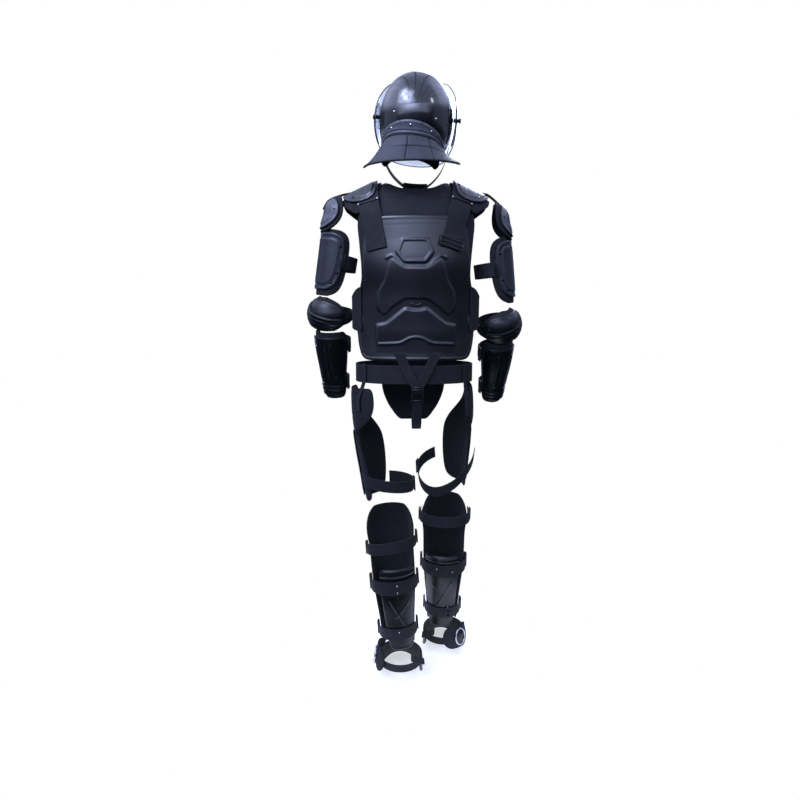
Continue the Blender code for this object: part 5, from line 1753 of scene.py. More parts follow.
def arm(name, side, shoulder_point, elbow_point, wrist_point, cap_turn, turn, elbow_turn, forearm_turn):
    """One arm's guards, from the shoulder's cap to the wrist."""
    upper, lower = limb_place(shoulder_point, elbow_point), limb_place(elbow_point, wrist_point)
    upper_form, elbow_form = limb_form(UPPER_ARM, side, upper), limb_form(ELBOW, side, lower)
    forearm_form = limb_form(FOREARM, side, lower)

    rows = [(down, cap_turn - half, cap_turn + half, 0.0005 + out) for down, half, out in CAP_PAD]
    pad_piece(f"sewn_cap_pad_{name}", upper_form, rows, cap_turn, (), 0.0010, tape=0.0042)
    rows = [(0.95 * down, cap_turn - half + 2, cap_turn + half - 2, ON_PAD + out) for down, half, out in CAP]
    node = f"shoulder_cap_{name}"
    # the cap's plastic is drawn paler, a painted highlight
    paint = (PAINTED_LIGHT_CAP_PLATE, PAINTED_LIGHT_CAP_PLATE)
    cap = plate_piece("moulded_" + node, upper_form, rows, cap_turn, [node], cap_relief, paint=paint)
    bound(cap, 0.0024)
    for angle, down in ((cap_turn - 46, -0.010), (cap_turn + 46, -0.010), (cap_turn, 0.032)):
        rivets("black", *on(cap, angle, down), 0.9)

    start = at(torso_form, side * 0.192, SHOULDER_LINE, ON_STRAP + HARD + 0.001)
    path = [start + (-side * 0.014, 0, 0.004), start + (0, 0, 0.0015), start + (side * 0.014, 0, -0.001)]
    for turned_on, down, out in ((24, -0.046, 0.0160), (20, -0.030, 0.0155), (16, -0.012, 0.0150)):
        path.append(at(upper_form, cap_turn + turned_on, down, out))
    grid = facing_out(ribbon_grid(path, [(0.0, 1.0, 0.0)] * len(path), 0.0125, 0.0035), (0, 0, 1))
    bridge = strap_piece(f"woven_bridge_strap_{name}", grid, wall=THICK_WEBBING)
    middle = bridge.outer.shape[1] // 2
    for row in (5, -6):
        rivets("nickel", [bridge.outer[row, middle]], [bridge.facing[row, middle]], 1.0)

    node, rows = f"upper_arm_pad_{name}", turned_rows(UPPER_PAD, turn, 0)
    pad_piece("sewn_" + node, upper_form, rows, turn, [node], channels=level((0.078, 0.206)))
    node, rows = f"upper_arm_plate_{name}", turned_rows(UPPER_PLATE, turn, ON_ARM)
    # the plate's plastic is drawn paler, a painted highlight
    paint = (PAINTED_LIGHT_ARM_PLATE, PAINTED_LIGHT_ARM_PLATE)
    plate = plate_piece("moulded_" + node, upper_form, rows, turn, [node], upper_arm_relief, paint=paint)
    for share, down in ((-0.80, 0.092), (-0.80, 0.168), (0.80, 0.092), (0.80, 0.168), (-0.62, 0.198)):
        rivets("black", *on(plate, turn + 70 * share, down), 1.4)
    route = [(angle, 0.135, ON_PAD) for angle in np.linspace(turn + 76, turn + 284, 14)]
    node = f"upper_arm_strap_{name}"
    box_stitch(strap_piece("woven_" + node, strap_grid(upper_form, route, 0.021), [node]), False, 0.024)
    slider_on(f"arm_loop_{name}", upper_form, turn + 292, 0.132, ON_PAD + WEBBING, (0.044, 0.010))

    # the elbow's pad stands out all round from under its cap
    rows = [(down * 1.07, elbow_turn - half - 5, elbow_turn + half + 5, 0.0008) for down, half in ELBOW_CAP]
    pad_piece(f"sewn_elbow_pad_{name}", elbow_form, rows, elbow_turn, (), 0.0)
    node, rows = f"elbow_cap_{name}", turned_rows(ELBOW_CAP, elbow_turn, ON_PAD)
    elbow = plate_piece("moulded_" + node, elbow_form, rows, elbow_turn, [node], elbow_relief)
    for share in (-0.82, 0.82):
        rivets("black", *on(elbow, elbow_turn + 96 * share, -0.004), 1.0)
    for part, start_down, end_down in (("over", -0.006, 0.016), ("under", 0.020, 0.004)):
        angles = np.linspace(elbow_turn + 88, elbow_turn + 272, 12)
        lift = ON_PAD - 0.002 + (0.0028 if part == "over" else 0.0)
        route = [(a, d, lift) for a, d in zip(angles, np.linspace(start_down, end_down, 12))]
        strap_piece(f"woven_elbow_strap_{part}_{name}", strap_grid(elbow_form, route, 0.0125))

    node, rows = f"forearm_pad_{name}", turned_rows(FOREARM_PAD, forearm_turn, 0)
    pad_piece("sewn_" + node, forearm_form, rows, forearm_turn, [node], channels=level((0.086, 0.232)))
    node, rows = f"forearm_plate_{name}", turned_rows(FOREARM_PLATE, forearm_turn, ON_ARM)
    plate = plate_piece("moulded_" + node, forearm_form, rows, forearm_turn, [node], forearm_relief)
    places = ((-0.30, 0.086), (0.35, 0.092), (-0.45, 0.190), (0.30, 0.212), (-0.7, 0.210), (0.7, 0.086))
    for share, down in places:
        rivets("nickel" if share > 0 else "black", *on(plate, forearm_turn + 84 * share, down), 0.9)
    for part, down in (("upper", 0.095), ("lower", 0.215)):
        route = [(a, down, ON_PAD) for a in np.linspace(forearm_turn + 88, forearm_turn + 272, 12)]
        node = f"forearm_strap_{part}_{name}"
        strap_piece("woven_" + node, strap_grid(forearm_form, route, 0.019), [node])
        angle = forearm_turn + 262
        size = (0.043, 0.012)
        slider_on(f"forearm_slider_{part}_{name}", forearm_form, angle, down, ON_PAD + WEBBING, size)
        angles = np.linspace(forearm_turn + 216, forearm_turn + 256, 6)
        route = [(angle, down, ON_PAD + WEBBING + 0.0006) for angle in angles]
        strap_piece(f"woven_forearm_tail_{part}_{name}", strap_grid(forearm_form, route, 0.0175))


# ---- hips


def hip_strap(name, rows, half_angle, width):
    """Webbing that lies on the hips. Each row gives an angle, a height and how far out."""
    sides = half_angle * (2 * stations(width, 0.004) - 1)
    base = hip_form(rows[:, :1] + sides[None, :], rows[:, 1:2] + 0 * sides, rows[:, 2:] + 0 * sides[None, :])
    return strap_piece(name, (base, base - (HIP_SHIFT, 0, 0)), wall=THIN_WEBBING)


def waist_belt():
    """The belt: a closed ring of wide webbing with its buckle and two loops."""
    angle = 90.0 + np.linspace(0, 360, 300, endpoint=False)[None, :]
    height = BELT_HEIGHT + BELT_HALF * (2 * stations(2 * BELT_HALF, 0.004) - 1)[:, None]
    angles, heights = angle + 0 * height, height + 0 * angle
    base, toward = on_form(hip_form, angles, heights, 0 * angles)
    along = run_along(np.concatenate([base[0], base[0, :1]]))
    lower, upper = rolled(border_distance(base, True), 0.003, 0.0016)
    across, way = heights - BELT_HEIGHT, 0 * heights + along[:-1]
    belt = skin("woven_waist_belt", base, toward, across, way, lower, upper, (STRAP, STRAP), ring=True)
    placed(belt, ["waist_belt"])
    for row in (4, -5):
        seam(belt.outer[row] + 0.0001 * belt.facing[row], belt.facing[row], True)
    for angle, hand in ((150.0, "left"), (208.0, "right")):
        rows = [(angle, BELT_HEIGHT + place, 0.0036) for place in np.linspace(-0.031, 0.031, 6)]
        hip_strap(f"woven_belt_keeper_{hand}", np.array(rows), 6.0, 0.030)
    release_buckle("belt_buckle", at(hip_form, 180, BELT_HEIGHT, 0.0035), (1, 0, 0), (0, 1, 0), 0.060)


def release_buckle(name, point, along, facing, width, nodes=()):
    """A side-release buckle: socket, tongue and ladder bars, then its prongs and the ladder's sides."""
    half = width / 2
    boxes = [
        ((width, width * 0.62, 0.0092), (0, width * 0.30, 0.0046)),
        ((width * 0.80, width * 0.48, 0.0104), (0, width * 0.30, 0.0052)),
        ((width * 0.28, width * 0.36, 0.0064), (0, -width * 0.14, 0.0046)),
        ((width * 0.98, width * 0.20, 0.0086), (0, -width * 0.44, 0.0044)),
        ((width * 0.98, 0.0038, 0.0052), (0, -width * 0.64, 0.0040)),
        ((width * 0.98, 0.0040, 0.0060), (0, width * 0.70, 0.0040)),
    ]
    for side in (-half, half):
        boxes += [
            ((width * 0.17, width * 0.40, 0.0078), (side * 0.86, -width * 0.16, 0.0046)),
            ((0.0040, width * 0.24, 0.0052), (side * 0.92, -width * 0.56, 0.0040)),
            ((0.0040, width * 0.16, 0.0052), (side * 0.92, width * 0.64, 0.0040)),
        ]
    placed(fitting(name, point, along, facing, boxes, 0.0014, (ACETAL,)), nodes)


GROIN_HALF = 0.0135


def groin_ribbon(name, route, nodes=()):
    """Webbing on the groin path. Each row gives a way, its middle across, its half width and how far out."""
    table = np.array(route, float)
    ways = table[0, 0] + (table[-1, 0] - table[0, 0]) * stations(table[-1, 0] - table[0, 0], 0.004)
    middle, half, out = blurred(read(table[:, 1:], ways, table[:, 0]), 6).T
    sides = 2 * stations(2 * GROIN_HALF, 0.004) - 1
    x = middle[:, None] + half[:, None] * sides[None, :]
    way, outs = (np.repeat(values[:, None], len(sides), axis=1) for values in (ways, out))
    return strap_piece(name, on_form(groin_form, x, way, outs), nodes)


def groin():
    """The crossed webbing between the legs, its buckle, ladder and tail, and the padded guard in front."""
    wide = GROIN_HALF * 1.08  # the slanting ends are a little wider across
    main = (
        (0.000, 0.0550, wide, 0.0),
        (0.050, 0.0330, wide, 0.0),
        (0.092, 0.0115, wide, 0.0),
        (0.112, 0.0, GROIN_HALF, 0.0),
        (0.400, 0.0, GROIN_HALF, 0.0),
    )
    crossing = (
        (0.000, -0.0550, wide, 0.0),
        (0.050, -0.0330, wide, 0.0),
        (0.066, -0.0240, wide, 0.0012),
        (0.080, -0.0170, wide, 0.0027),
        (0.092, -0.0115, wide, 0.0027),
        (0.106, 0.0, GROIN_HALF, 0.0027),
        (0.121, 0.001, GROIN_HALF, 0.0025),
    )
    tail = ((0.140, 0.0060), (0.160, 0.0052), (0.200, 0.0038), (0.206, 0.0042))
    made = [groin_ribbon("woven_groin_strap", main, ["groin_strap"])]
    made.append(groin_ribbon("woven_groin_strap_crossing", crossing))
    for strap in made:
        box_stitch(strap, False, 0.016)
    groin_ribbon("woven_groin_tail", [(way, 0.0, 0.0125, out) for way, out in tail])
    point = at(groin_form, 0, 0.128, 0.0026)
    along, facing = at(groin_form, 0, 0.118, 0.0026) - point, at(groin_form, 0, 0.128, 0.0126) - point
    release_buckle("groin_release_buckle", point, along, facing, 0.035, ["groin_buckle"])
    rows = (
        # height, half angle, out
        (0.868, 13, -0.026),
        (0.885, 18, -0.012),
        (0.915, 24, -0.002),
        (0.950, 29, 0.0),
        (0.980, 31, 0.0),
        (0.9885, 29, 0.0),
    )
    rows = [(height, 180 - half, 180 + half, out) for height, half, out in rows]
    channels = [[(-0.09, 0.925), (0.0, 0.905), (0.09, 0.925)], [(-0.09, 0.958), (0.0, 0.940), (0.09, 0.958)]]
    nodes = ["groin_guard"]
    pad_piece("sewn_groin_guard", hip_form, rows, 180.0, nodes, 0.0030, channels, 0.0022, wall=0.008)
    for hand, angle in (("left", 166.0), ("right", 194.0)):
        table = ((0.955, 0.0095), (0.972, 0.0095), (1.000, 0.0090), (1.045, 0.0046))
        table = [(angle, *row) for row in table]
        rows = read(np.array(table), np.linspace(0, 1, 26), np.linspace(0, 1, 4))
        hip_strap(f"woven_groin_hanger_{hand}", blurred(rows, 4), 4.0, 0.025)


# ---- legs

LEGS = (
    # name, side, hip, knee, ankle, turn of the thigh's pieces, of the calf's
    ("left", -1, (-0.100, 0.000, 0.900), (-0.080, 0.000, 0.500), (-0.049, 0.000, 0.090), 0, -15),
    ("right", 1, (0.079, 0.000, 0.900), (0.101, 0.115, 0.500), (0.098, 0.165, 0.090), 34, -10),
)
THIGH_PAD = (
    # down, rear edge, front edge
    (-0.086, 18, 112),
    (-0.030, 16, 126),
    (0.010, 28, 142),
    (0.035, 54, 154),
    (0.054, 80, 162),
    (0.080, 72, 170),
    (0.130, 56, 174),
    (0.200, 48, 174),
    (0.255, 46, 168),
    (0.270, 60, 150),
)
THIGH_PLATE = (
    (0.050, 90, 140),
    (0.066, 84, 158),
    (0.120, 80, 164),
    (0.190, 78, 164),
    (0.245, 78, 160),
    (0.262, 88, 146),
)
THIGH_STRAPS = {
    "left": (
        (74, 0.202, ON_PAD),
        (35, 0.208, ON_PAD),
        (-4, 0.216, ON_PAD),
        (-60, 0.230, ON_PAD),
        (-100, 0.234, ON_PAD + 0.006),
        (-178, 0.226, ON_PAD),
    ),
    "right": (
        (92, 0.148, ON_PAD + 0.016),
        (74, 0.172, ON_PAD + 0.010),
        (50, 0.194, ON_PAD + 0.001),
        (10, 0.226, ON_PAD),
        (-30, 0.248, ON_PAD),
        (-75, 0.236, ON_PAD),
        (-110, 0.204, ON_PAD + 0.006),
        (-166, 0.184, ON_PAD),
    ),
}
LEG_PAD = (
    # down, rear edge on both sides
    (-0.086, 132),
    (-0.068, 110),
    (-0.045, 96),
    (-0.010, 92),
    (0.030, 96),
    (0.070, 88),
    (0.130, 78),
    (0.200, 74),
    (0.300, 74),
    (0.350, 80),
    (0.366, 92),
)
SHIN_PLATE = (
    # down, rear edge on both sides, out
    (-0.074, 150, 0.0),
    (-0.058, 134, 0.006),
    (-0.020, 126, 0.014),
    (0.020, 126, 0.010),
    (0.045, 132, 0.0),
    (0.120, 122, 0.0),
    (0.220, 120, 0.0),
    (0.320, 122, 0.0),
    (0.344, 136, 0.0),
)
CALF_PLATE = (
    # down, half angle, out
    (0.082, 40, 0.005),
    (0.094, 50, 0.002),
    (0.120, 52, 0.0),
    (0.180, 52, 0.0),
    (0.230, 52, 0.0),
    (0.280, 51, 0.0),
    (0.320, 50, 0.0),
    (0.352, 46, 0.0),
    (0.364, 34, 0.0),
)
LEG_STRAPS = {
    # name, half width, way down of its middle at its inner end, at the back and at its outer end
    "left": (
        ("knee_strap", 0.0190, 0.010, 0.014, 0.036),
        ("calf_strap_upper", 0.0225, 0.144, 0.146, 0.150),
        ("calf_strap_lower", 0.0200, 0.304, 0.309, 0.309),
    ),
    "right": (
        ("knee_strap", 0.0190, -0.034, -0.040, -0.034),
        ("calf_strap_upper", 0.0225, 0.138, 0.138, 0.138),
        ("calf_strap_lower", 0.0200, 0.304, 0.308, 0.308),
    ),
}
STRAP_STUDS = {
    # finish, angle, way down
    "left": (
        ("nickel", -8, 0.137),
        ("nickel", -8, 0.160),
        ("black", -8, 0.178),
        ("black", -5, 0.283),
        ("nickel", -5, 0.300),
        ("black", -5, 0.322),
    ),
    "right": (
        ("nickel", -21, 0.131),
        ("nickel", 20, 0.142),
        ("black", 20, 0.126),
        ("black", 20, 0.156),
        ("nickel", 14, 0.286),
        ("black", 14, 0.326),
    ),
}
FOOT_GUARD = (
    # down, rear edge on both sides
    (-0.014, 92),
    (0.000, 70),
    (0.022, 58),
    (0.044, 64),
    (0.060, 96),
    (0.074, 130),
)


def thigh_relief(x, down, edge):
    ribs = sum(bead(down - at - 0.10 * np.abs(x), 0.0045, 0.0018) for at in (0.110, 0.150, 0.190))
    return ribs * ramped(edge, 0.018, 0.026) + framed(edge, 0.0022, 0.010, 0.016)


def shin_relief(x, down, edge):
    """A ribbed knee over a keeled shin."""
    knee = sum(bead(down - at + 0.16 * np.abs(x), 0.0045, -0.0020) for at in (-0.030, -0.008, 0.014))
    knee = knee * ramped(0.050 - np.abs(x), 0, 0.012)
    joint = bead(down - 0.050, 0.0070, -0.0024)
    keel = 0.0040 * np.exp(-((x / 0.012) ** 2)) * ramped(down, 0.075, 0.100) * ramped(-down, -0.330, -0.300)
    sides = bead(np.abs(x) - 0.030 - 0.06 * (down - 0.2), 0.0045, 0.0018)
    sides = sides * ramped(down, 0.090, 0.110) * ramped(-down, -0.315, -0.300)
    return knee + joint + keel + sides + bead(edge - 0.0048, 0.0036, 0.0010)


def calf_relief(x, down, edge):
    """A thick rolled lip at the top, and two crossing ridges."""
    top = ramped(0.112 - down, 0.0, 0.006)
    lip = top * 0.0034 * ramped(edge, 0.0, 0.007)
    lines = ([(0.034, 0.186), (-0.014, 0.288)], [(-0.030, 0.196), (0.018, 0.250)])
    depths = (0.0018, 0.0011)
    cross = sum(bead(apart_from(x, down, line), 0.0036, depth) for line, depth in zip(lines, depths))
    return lip + cross + bead(edge - 0.0048, 0.0036, 0.0009)


def foot_relief(x, down, edge):
    folds = sum(bead(down - at, 0.0045, -0.0018) for at in (0.012, 0.030, 0.048))
    return folds * ramped(0.060 - np.abs(x), 0, 0.016) + bead(edge - 0.0048, 0.0036, 0.0010)


def leg(name, side, hip, knee, ankle, thigh_turn, calf_turn):
    """One leg's guards: thigh, knee and shin, calf and foot."""
    upper, lower = limb_place(hip, knee), limb_place(knee, ankle)
    # the right foot is turned out a little, which moves its guard across
    foot_top = (ankle[0] + max(side, 0) * 0.007, *ankle[1:])
    foot = limb_place(foot_top, (*foot_top[:2], 0.0))
    thigh_form, lower_form = limb_form(THIGH, side, upper), limb_form(LOWER_LEG, side, lower)
    foot_form = limb_form(FOOT, side, foot)

    node = f"thigh_pad_{name}"
    rows = [(down, min(rear + thigh_turn, 96), max(front, 118), 0) for down, rear, front in THIGH_PAD]
    lines = ([(-0.2, 0.020), (0.2, -0.020)], [(-0.2, 0.062), (0.2, 0.052)], [(-0.03, -0.075), (-0.05, 0.010)])
    pad_piece("sewn_" + node, thigh_form, rows, 90.0, [node], 0.0014, lines, spacing=0.0045)
    node = f"thigh_plate_{name}"
    rows = [(down, rear + thigh_turn / 2, front, ON_THIGH) for down, rear, front in THIGH_PLATE]
    plate = plate_piece("moulded_" + node, thigh_form, rows, 120.0, [node], thigh_relief, 0.0026)
    for angle, down in ((104, 0.078), (152, 0.078), (104, 0.236), (150, 0.236)):
        rivets("black", *on(plate, angle, down), 1.0)
    route, node = THIGH_STRAPS[name], f"thigh_strap_{name}"
    strap = strap_piece("woven_" + node, strap_grid(thigh_form, softened(route, 3), 0.019), [node])
    box_stitch(strap, False, 0.026)
    angle, down, out = route[-2]
    slider_on(f"thigh_slider_{name}", thigh_form, angle, down, out + WEBBING, (0.044, 0.016))
    hanger(name, side, thigh_form)

    node, rows = f"leg_pad_{name}", [(down, rear, 360 - rear, 0) for down, rear in LEG_PAD]
    lines = level((0.060, 0.200, 0.330), 0.3)
    pad_piece("sewn_" + node, lower_form, rows, 180.0, [node], 0.0012, lines, spacing=0.005)
    node = f"shin_plate_{name}"
    rows = [(down, rear, 360 - rear, ON_PAD + out) for down, rear, out in SHIN_PLATE]
    shin = plate_piece("moulded_" + node, lower_form, rows, 180.0, [node], shin_relief, 0.0029)
    for turn in (-44, 44):
        for down in (0.066, 0.300):
            rivets("nickel", *on(shin, 180 + turn, down))
    node = f"calf_plate_{name}"
    rows = [(down, calf_turn - half, calf_turn + half, ON_PAD + out) for down, half, out in CALF_PLATE]
    calf = plate_piece("moulded_" + node, lower_form, rows, float(calf_turn), [node], calf_relief)
    for turn in (-38, 38):
        rivets("black", *on(calf, calf_turn + turn, 0.350), 0.9)
    for part, half_width, inner, back, outer in LEG_STRAPS[name]:
        angles, node = np.linspace(-108, 108, 15), f"{part}_{name}"
        downs = np.interp(angles, (-108, 0, 108), (inner, back, outer))
        route = [(angle, down, ON_PLATE) for angle, down in zip(angles, downs)]
        strap = strap_piece("woven_" + node, strap_grid(lower_form, route, half_width), [node])
        for at_end in (False, True):
            box_stitch(strap, at_end, 0.022)
        for end, angle, down in (("inner", -96, inner), ("outer", 96, outer)):
            size = (2 * half_width + 0.001, 0.012)
            slider_on(f"{part}_slider_{end}_{name}", lower_form, angle, down, ON_PLATE + WEBBING, size)
    for kind, angle, down in STRAP_STUDS[name]:
        on_strap = any(abs(down - back) < half_width for _, half_width, _, back, _ in LEG_STRAPS[name])
        out = ON_PLATE + WEBBING if on_strap else ON_PAD + HARD
        point = at(lower_form, angle, down, out)
        rivets(kind, [point], [unit(at(lower_form, angle, down, out + 0.01) - point)], 0.75)
    if side > 0:
        size = (0.016, 0.034)
        slider_on("calf_buckle_right", lower_form, 14, 0.304, ON_PLATE + WEBBING, size, upright=True)
    node, rows = f"foot_guard_{name}", [(down, rear, 360 - rear, ON_PAD) for down, rear in FOOT_GUARD]
    paint = (LOW_PLATE, LINING)
    instep = plate_piece("moulded_" + node, foot_form, rows, 180.0, [node], foot_relief, 0.0035, 0.004, paint)
    for angle in (118, 242):
        rivets("black", *on(instep, angle, 0.014))
    ankle_pieces(name, foot_form)


def hanger(name, side, thigh_form):
    """The webbing that hangs a thigh pad from the belt."""
    path = [at(hip_form, side * 53, height, 0.0042) for height in (1.060, 1.040, 1.018, 1.000)]
    path += [at(thigh_form, 46, down, CLOTH + 0.0030) for down in (-0.062, -0.040, -0.022)]
    away = unit(np.array([(point[0] - HIP_SHIFT, point[1], 0.0) for point in path]))
    grid = ribbon_grid(path, np.cross(away, (0, 0, 1.0)), 0.0115)
    grid = facing_out(grid, (grid[0] - (HIP_SHIFT, 0, 0)) * (1, 1, 0))
    box_stitch(strap_piece(f"woven_thigh_hanger_{name}", grid), True, 0.022)


ANKLE_TURNS = {"left": 90.0, "right": 42.0}
DISC_HALF_WIDTH = 0.0200
DISC_HALF_HEIGHT = 0.0275


def ankle_pieces(name, foot_form):
    """The ankle's pad with its bare ringed disc, and the strap that closes round the heel."""
    turn = ANKLE_TURNS[name]
    rows = ((-0.039, 24), (-0.028, 40), (0.000, 46), (0.028, 40), (0.039, 24))
    rows = turned_rows(rows, turn, ON_PAD + 0.0045)
    pad = pad_piece(f"sewn_ankle_pad_{name}", foot_form, rows, turn, (), 0.0030)
    (middle,), (facing,) = on(pad, turn, 0.0)
    upright = at(foot_form, turn, -0.02, 0.03) - middle
    up = unit(upright - np.dot(upright, facing) * facing)
    turns = np.linspace(0, 2 * math.pi, 40, endpoint=False)
    oval = np.outer(np.cos(turns), np.cross(up, facing)) * DISC_HALF_WIDTH
    oval += np.outer(np.sin(turns), up) * DISC_HALF_HEIGHT
    ring = middle + 1.025 * oval + facing * 0.0016
    placed(tube(f"ankle_disc_ring_{name}", ring, facing, 0.0026, 0.0026, (NICKEL,), closed=True))
    # share of the disc's radius, height over the pad
    profile = (
        (0.0, 0.0034), (0.35, 0.0033), (0.62, 0.0028), (0.66, 0.0016), (0.86, 0.0014), (1.0, 0.001),
        (1.0, -0.009),
    )
    disc = np.array([middle + radius * oval + facing * height for radius, height in profile])
    index = wrapped_index(*disc.shape[:2])
    faces = quads(index).tolist() + [index[-1, :-1].tolist()]
    data = mended(new_mesh(f"ankle_disc_{name}", disc.reshape(-1, 3), faces), MERGE)
    placed(linked(f"ankle_disc_{name}", data, (PLATE_PAINT,)))
    angles = np.linspace(58, -100, 14)
    route = [(a, 0.006 + 0.010 * math.cos(math.radians(a)), ON_PAD - 0.002) for a in angles]
    box_stitch(strap_piece(f"woven_ankle_strap_{name}", strap_grid(foot_form, route, 0.0125)), False, 0.016)
    angles = np.linspace(-30, -62, 8)
    route = [(a, 0.002 - 0.0006 * (62 + a), ON_PAD + 0.002 + 0.00055 * abs(a + 30)) for a in angles]
    strap_piece(f"woven_ankle_strap_end_{name}", strap_grid(foot_form, route, 0.0115))


# ---- what is grown along lines and on points


def tree_for(name, sizes):
    """A new Geometry Nodes tree with a named input for each size, and its first and last nodes."""
    tree = bpy.data.node_groups.new(name, "GeometryNodeTree")
    face = tree.interface
    face.new_socket("Geometry", in_out="INPUT", socket_type="NodeSocketGeometry")
    for label, size in sizes.items():
        face.new_socket(label, in_out="INPUT", socket_type="NodeSocketFloat").default_value = size
    face.new_socket("Material", in_out="INPUT", socket_type="NodeSocketMaterial")
    face.new_socket("Geometry", in_out="OUTPUT", socket_type="NodeSocketGeometry")
    return tree, add(tree, "NodeGroupInput", out=None)


def finished_tree(tree, instances, given):
    """Ends a tree: its copies are made real and given their material."""
    real = add(tree, "GeometryNodeRealizeInstances", {0: instances})
    smooth = add(tree, "GeometryNodeSetShadeSmooth", {"Geometry": real})
    shaded = add(tree, "GeometryNodeSetMaterial", {"Geometry": smooth, "Material": given["Material"]})
    add(tree, "NodeGroupOutput", {"Geometry": shaded}, out=None)
    return tree


WASHER_HEIGHT = 0.0007
BINDING_STEP = 0.0052


def rivet_tree():
    """Domed rivets with a thin washer, one on each point, square to the surface there."""
    tree, given = tree_for("rivets", {"Head radius": 0.0027, "Head height": 0.0019, "Washer radius": 0.0036})
    ball = add(tree, "GeometryNodeMeshUVSphere", {"Segments": 16, "Rings": 8, "Radius": 1.0})
    shape = {0: given["Head radius"], 1: given["Head radius"], 2: given["Head height"]}
    shape = add(tree, "ShaderNodeCombineXYZ", shape)
    head = add(tree, "GeometryNodeTransform", {"Geometry": ball, "Scale": shape})
    ring = add(tree, "GeometryNodeMeshUVSphere", {"Segments": 16, "Rings": 4, "Radius": 1.0})
    flat = {0: given["Washer radius"], 1: given["Washer radius"], 2: WASHER_HEIGHT}
    flat = add(tree, "ShaderNodeCombineXYZ", flat)
    washer = add(tree, "GeometryNodeTransform", {"Geometry": ring, "Scale": flat})
    whole = add(tree, "GeometryNodeJoinGeometry", {0: head})
    tree.links.new(washer, whole.node.inputs[0])
    facing = add(tree, "GeometryNodeInputNamedAttribute", {"Name": "facing"}, data_type="FLOAT_VECTOR")
    size = add(tree, "GeometryNodeInputNamedAttribute", {"Name": "size"}, data_type="FLOAT")
    turn = add(tree, "FunctionNodeAlignRotationToVector", {"Vector": facing}, axis="Z")
    copies = {"Points": given["Geometry"], "Instance": whole, "Rotation": turn, "Scale": size}
    return finished_tree(tree, add(tree, "GeometryNodeInstanceOnPoints", copies), given)


def stitch_tree():
    """Stitches at a pitch along lines, each a small bead of thread that lies on the surface."""
    tree, given = tree_for("stitches", {"Pitch": 0.0062, "Length": 0.0042, "Thickness": 0.0011})
    lines = add(tree, "GeometryNodeMeshToCurve", {"Mesh": given["Geometry"]})
    spaced = add(tree, "GeometryNodeResampleCurve", {"Curve": lines, "Length": given["Pitch"]}, mode="LENGTH")
    bead_mesh = add(tree, "GeometryNodeMeshUVSphere", {"Segments": 6, "Rings": 3, "Radius": 0.5})
    shape = {0: given["Length"], 1: given["Thickness"], 2: given["Thickness"]}
    shape = add(tree, "ShaderNodeCombineXYZ", shape)
    facing = add(tree, "GeometryNodeInputNamedAttribute", {"Name": "facing"}, data_type="FLOAT_VECTOR")
    tangent = add(tree, "GeometryNodeInputTangent")
    turn = add(tree, "FunctionNodeAlignRotationToVector", {"Vector": tangent}, axis="X")
    turn = {"Rotation": turn, "Vector": facing}
    turn = add(tree, "FunctionNodeAlignRotationToVector", turn, axis="Z", pivot_axis="X")
    copies = {"Points": spaced, "Instance": bead_mesh, "Rotation": turn, "Scale": shape}
    return finished_tree(tree, add(tree, "GeometryNodeInstanceOnPoints", copies), given)


def binding_tree():
    """Tape folded over an edge: a round tube that follows each closed line."""
    tree, given = tree_for("edge binding", {"Radius": 0.0030})
    lines = add(tree, "GeometryNodeMeshToCurve", {"Mesh": given["Geometry"]})
    even = add(tree, "GeometryNodeResampleCurve", {"Curve": lines, "Length": BINDING_STEP}, mode="LENGTH")
    ring = add(tree, "GeometryNodeCurvePrimitiveCircle", {"Resolution": 8, "Radius": given["Radius"]})
    tape = {"Curve": even, "Profile Curve": ring, "Fill Caps": True}
    return finished_tree(tree, add(tree, "GeometryNodeCurveToMesh", tape), given)


def line_mesh(lines):
    """A mesh of edges along lines of points and facings, each closed or open."""
    points, edges, facing = [], [], []
    for line, faces, closed in lines:
        start, count = len(points), len(line)
        points += [tuple(point) for point in line]
        facing += [tuple(face) for face in faces]
        edges += [(start + i, start + i + 1) for i in range(count - 1)]
        if closed:
            edges.append((start + count - 1, start))
    data = bpy.data.meshes.new("lines")
    data.from_pydata(points, edges, [])
    attribute = data.attributes.new("facing", "FLOAT_VECTOR", "POINT")
    attribute.data.foreach_set("vector", np.array(facing, np.float32).ravel())
    return data


def point_mesh(studs):
    """A mesh of loose points, each with its facing and size."""
    data = bpy.data.meshes.new("points")
    data.from_pydata([tuple(point) for point, _, _ in studs], [], [])
    facing = data.attributes.new("facing", "FLOAT_VECTOR", "POINT")
    facing.data.foreach_set("vector", np.array([tuple(face) for _, face, _ in studs], np.float32).ravel())
    size = data.attributes.new("size", "FLOAT", "POINT")
    size.data.foreach_set("value", np.array([size for _, _, size in studs], np.float32))
    return data


def grown(name, tree, source, values, body="suit"):
    """Runs a tree on points or lines and keeps what it makes as a plain mesh."""
    piece = linked(name, source, ())
    modifier = piece.modifiers.new("grow", "NODES")
    modifier.node_group = tree
    for item in tree.interface.items_tree:
        if item.in_out == "INPUT" and item.name in values:
            modifier[item.identifier] = values[item.name]
    graph = bpy.context.evaluated_depsgraph_get()
    made = bpy.data.meshes.new_from_object(piece.evaluated_get(graph), depsgraph=graph)
    piece.modifiers.remove(modifier)
    piece.data = made
    return placed(piece, body=body)


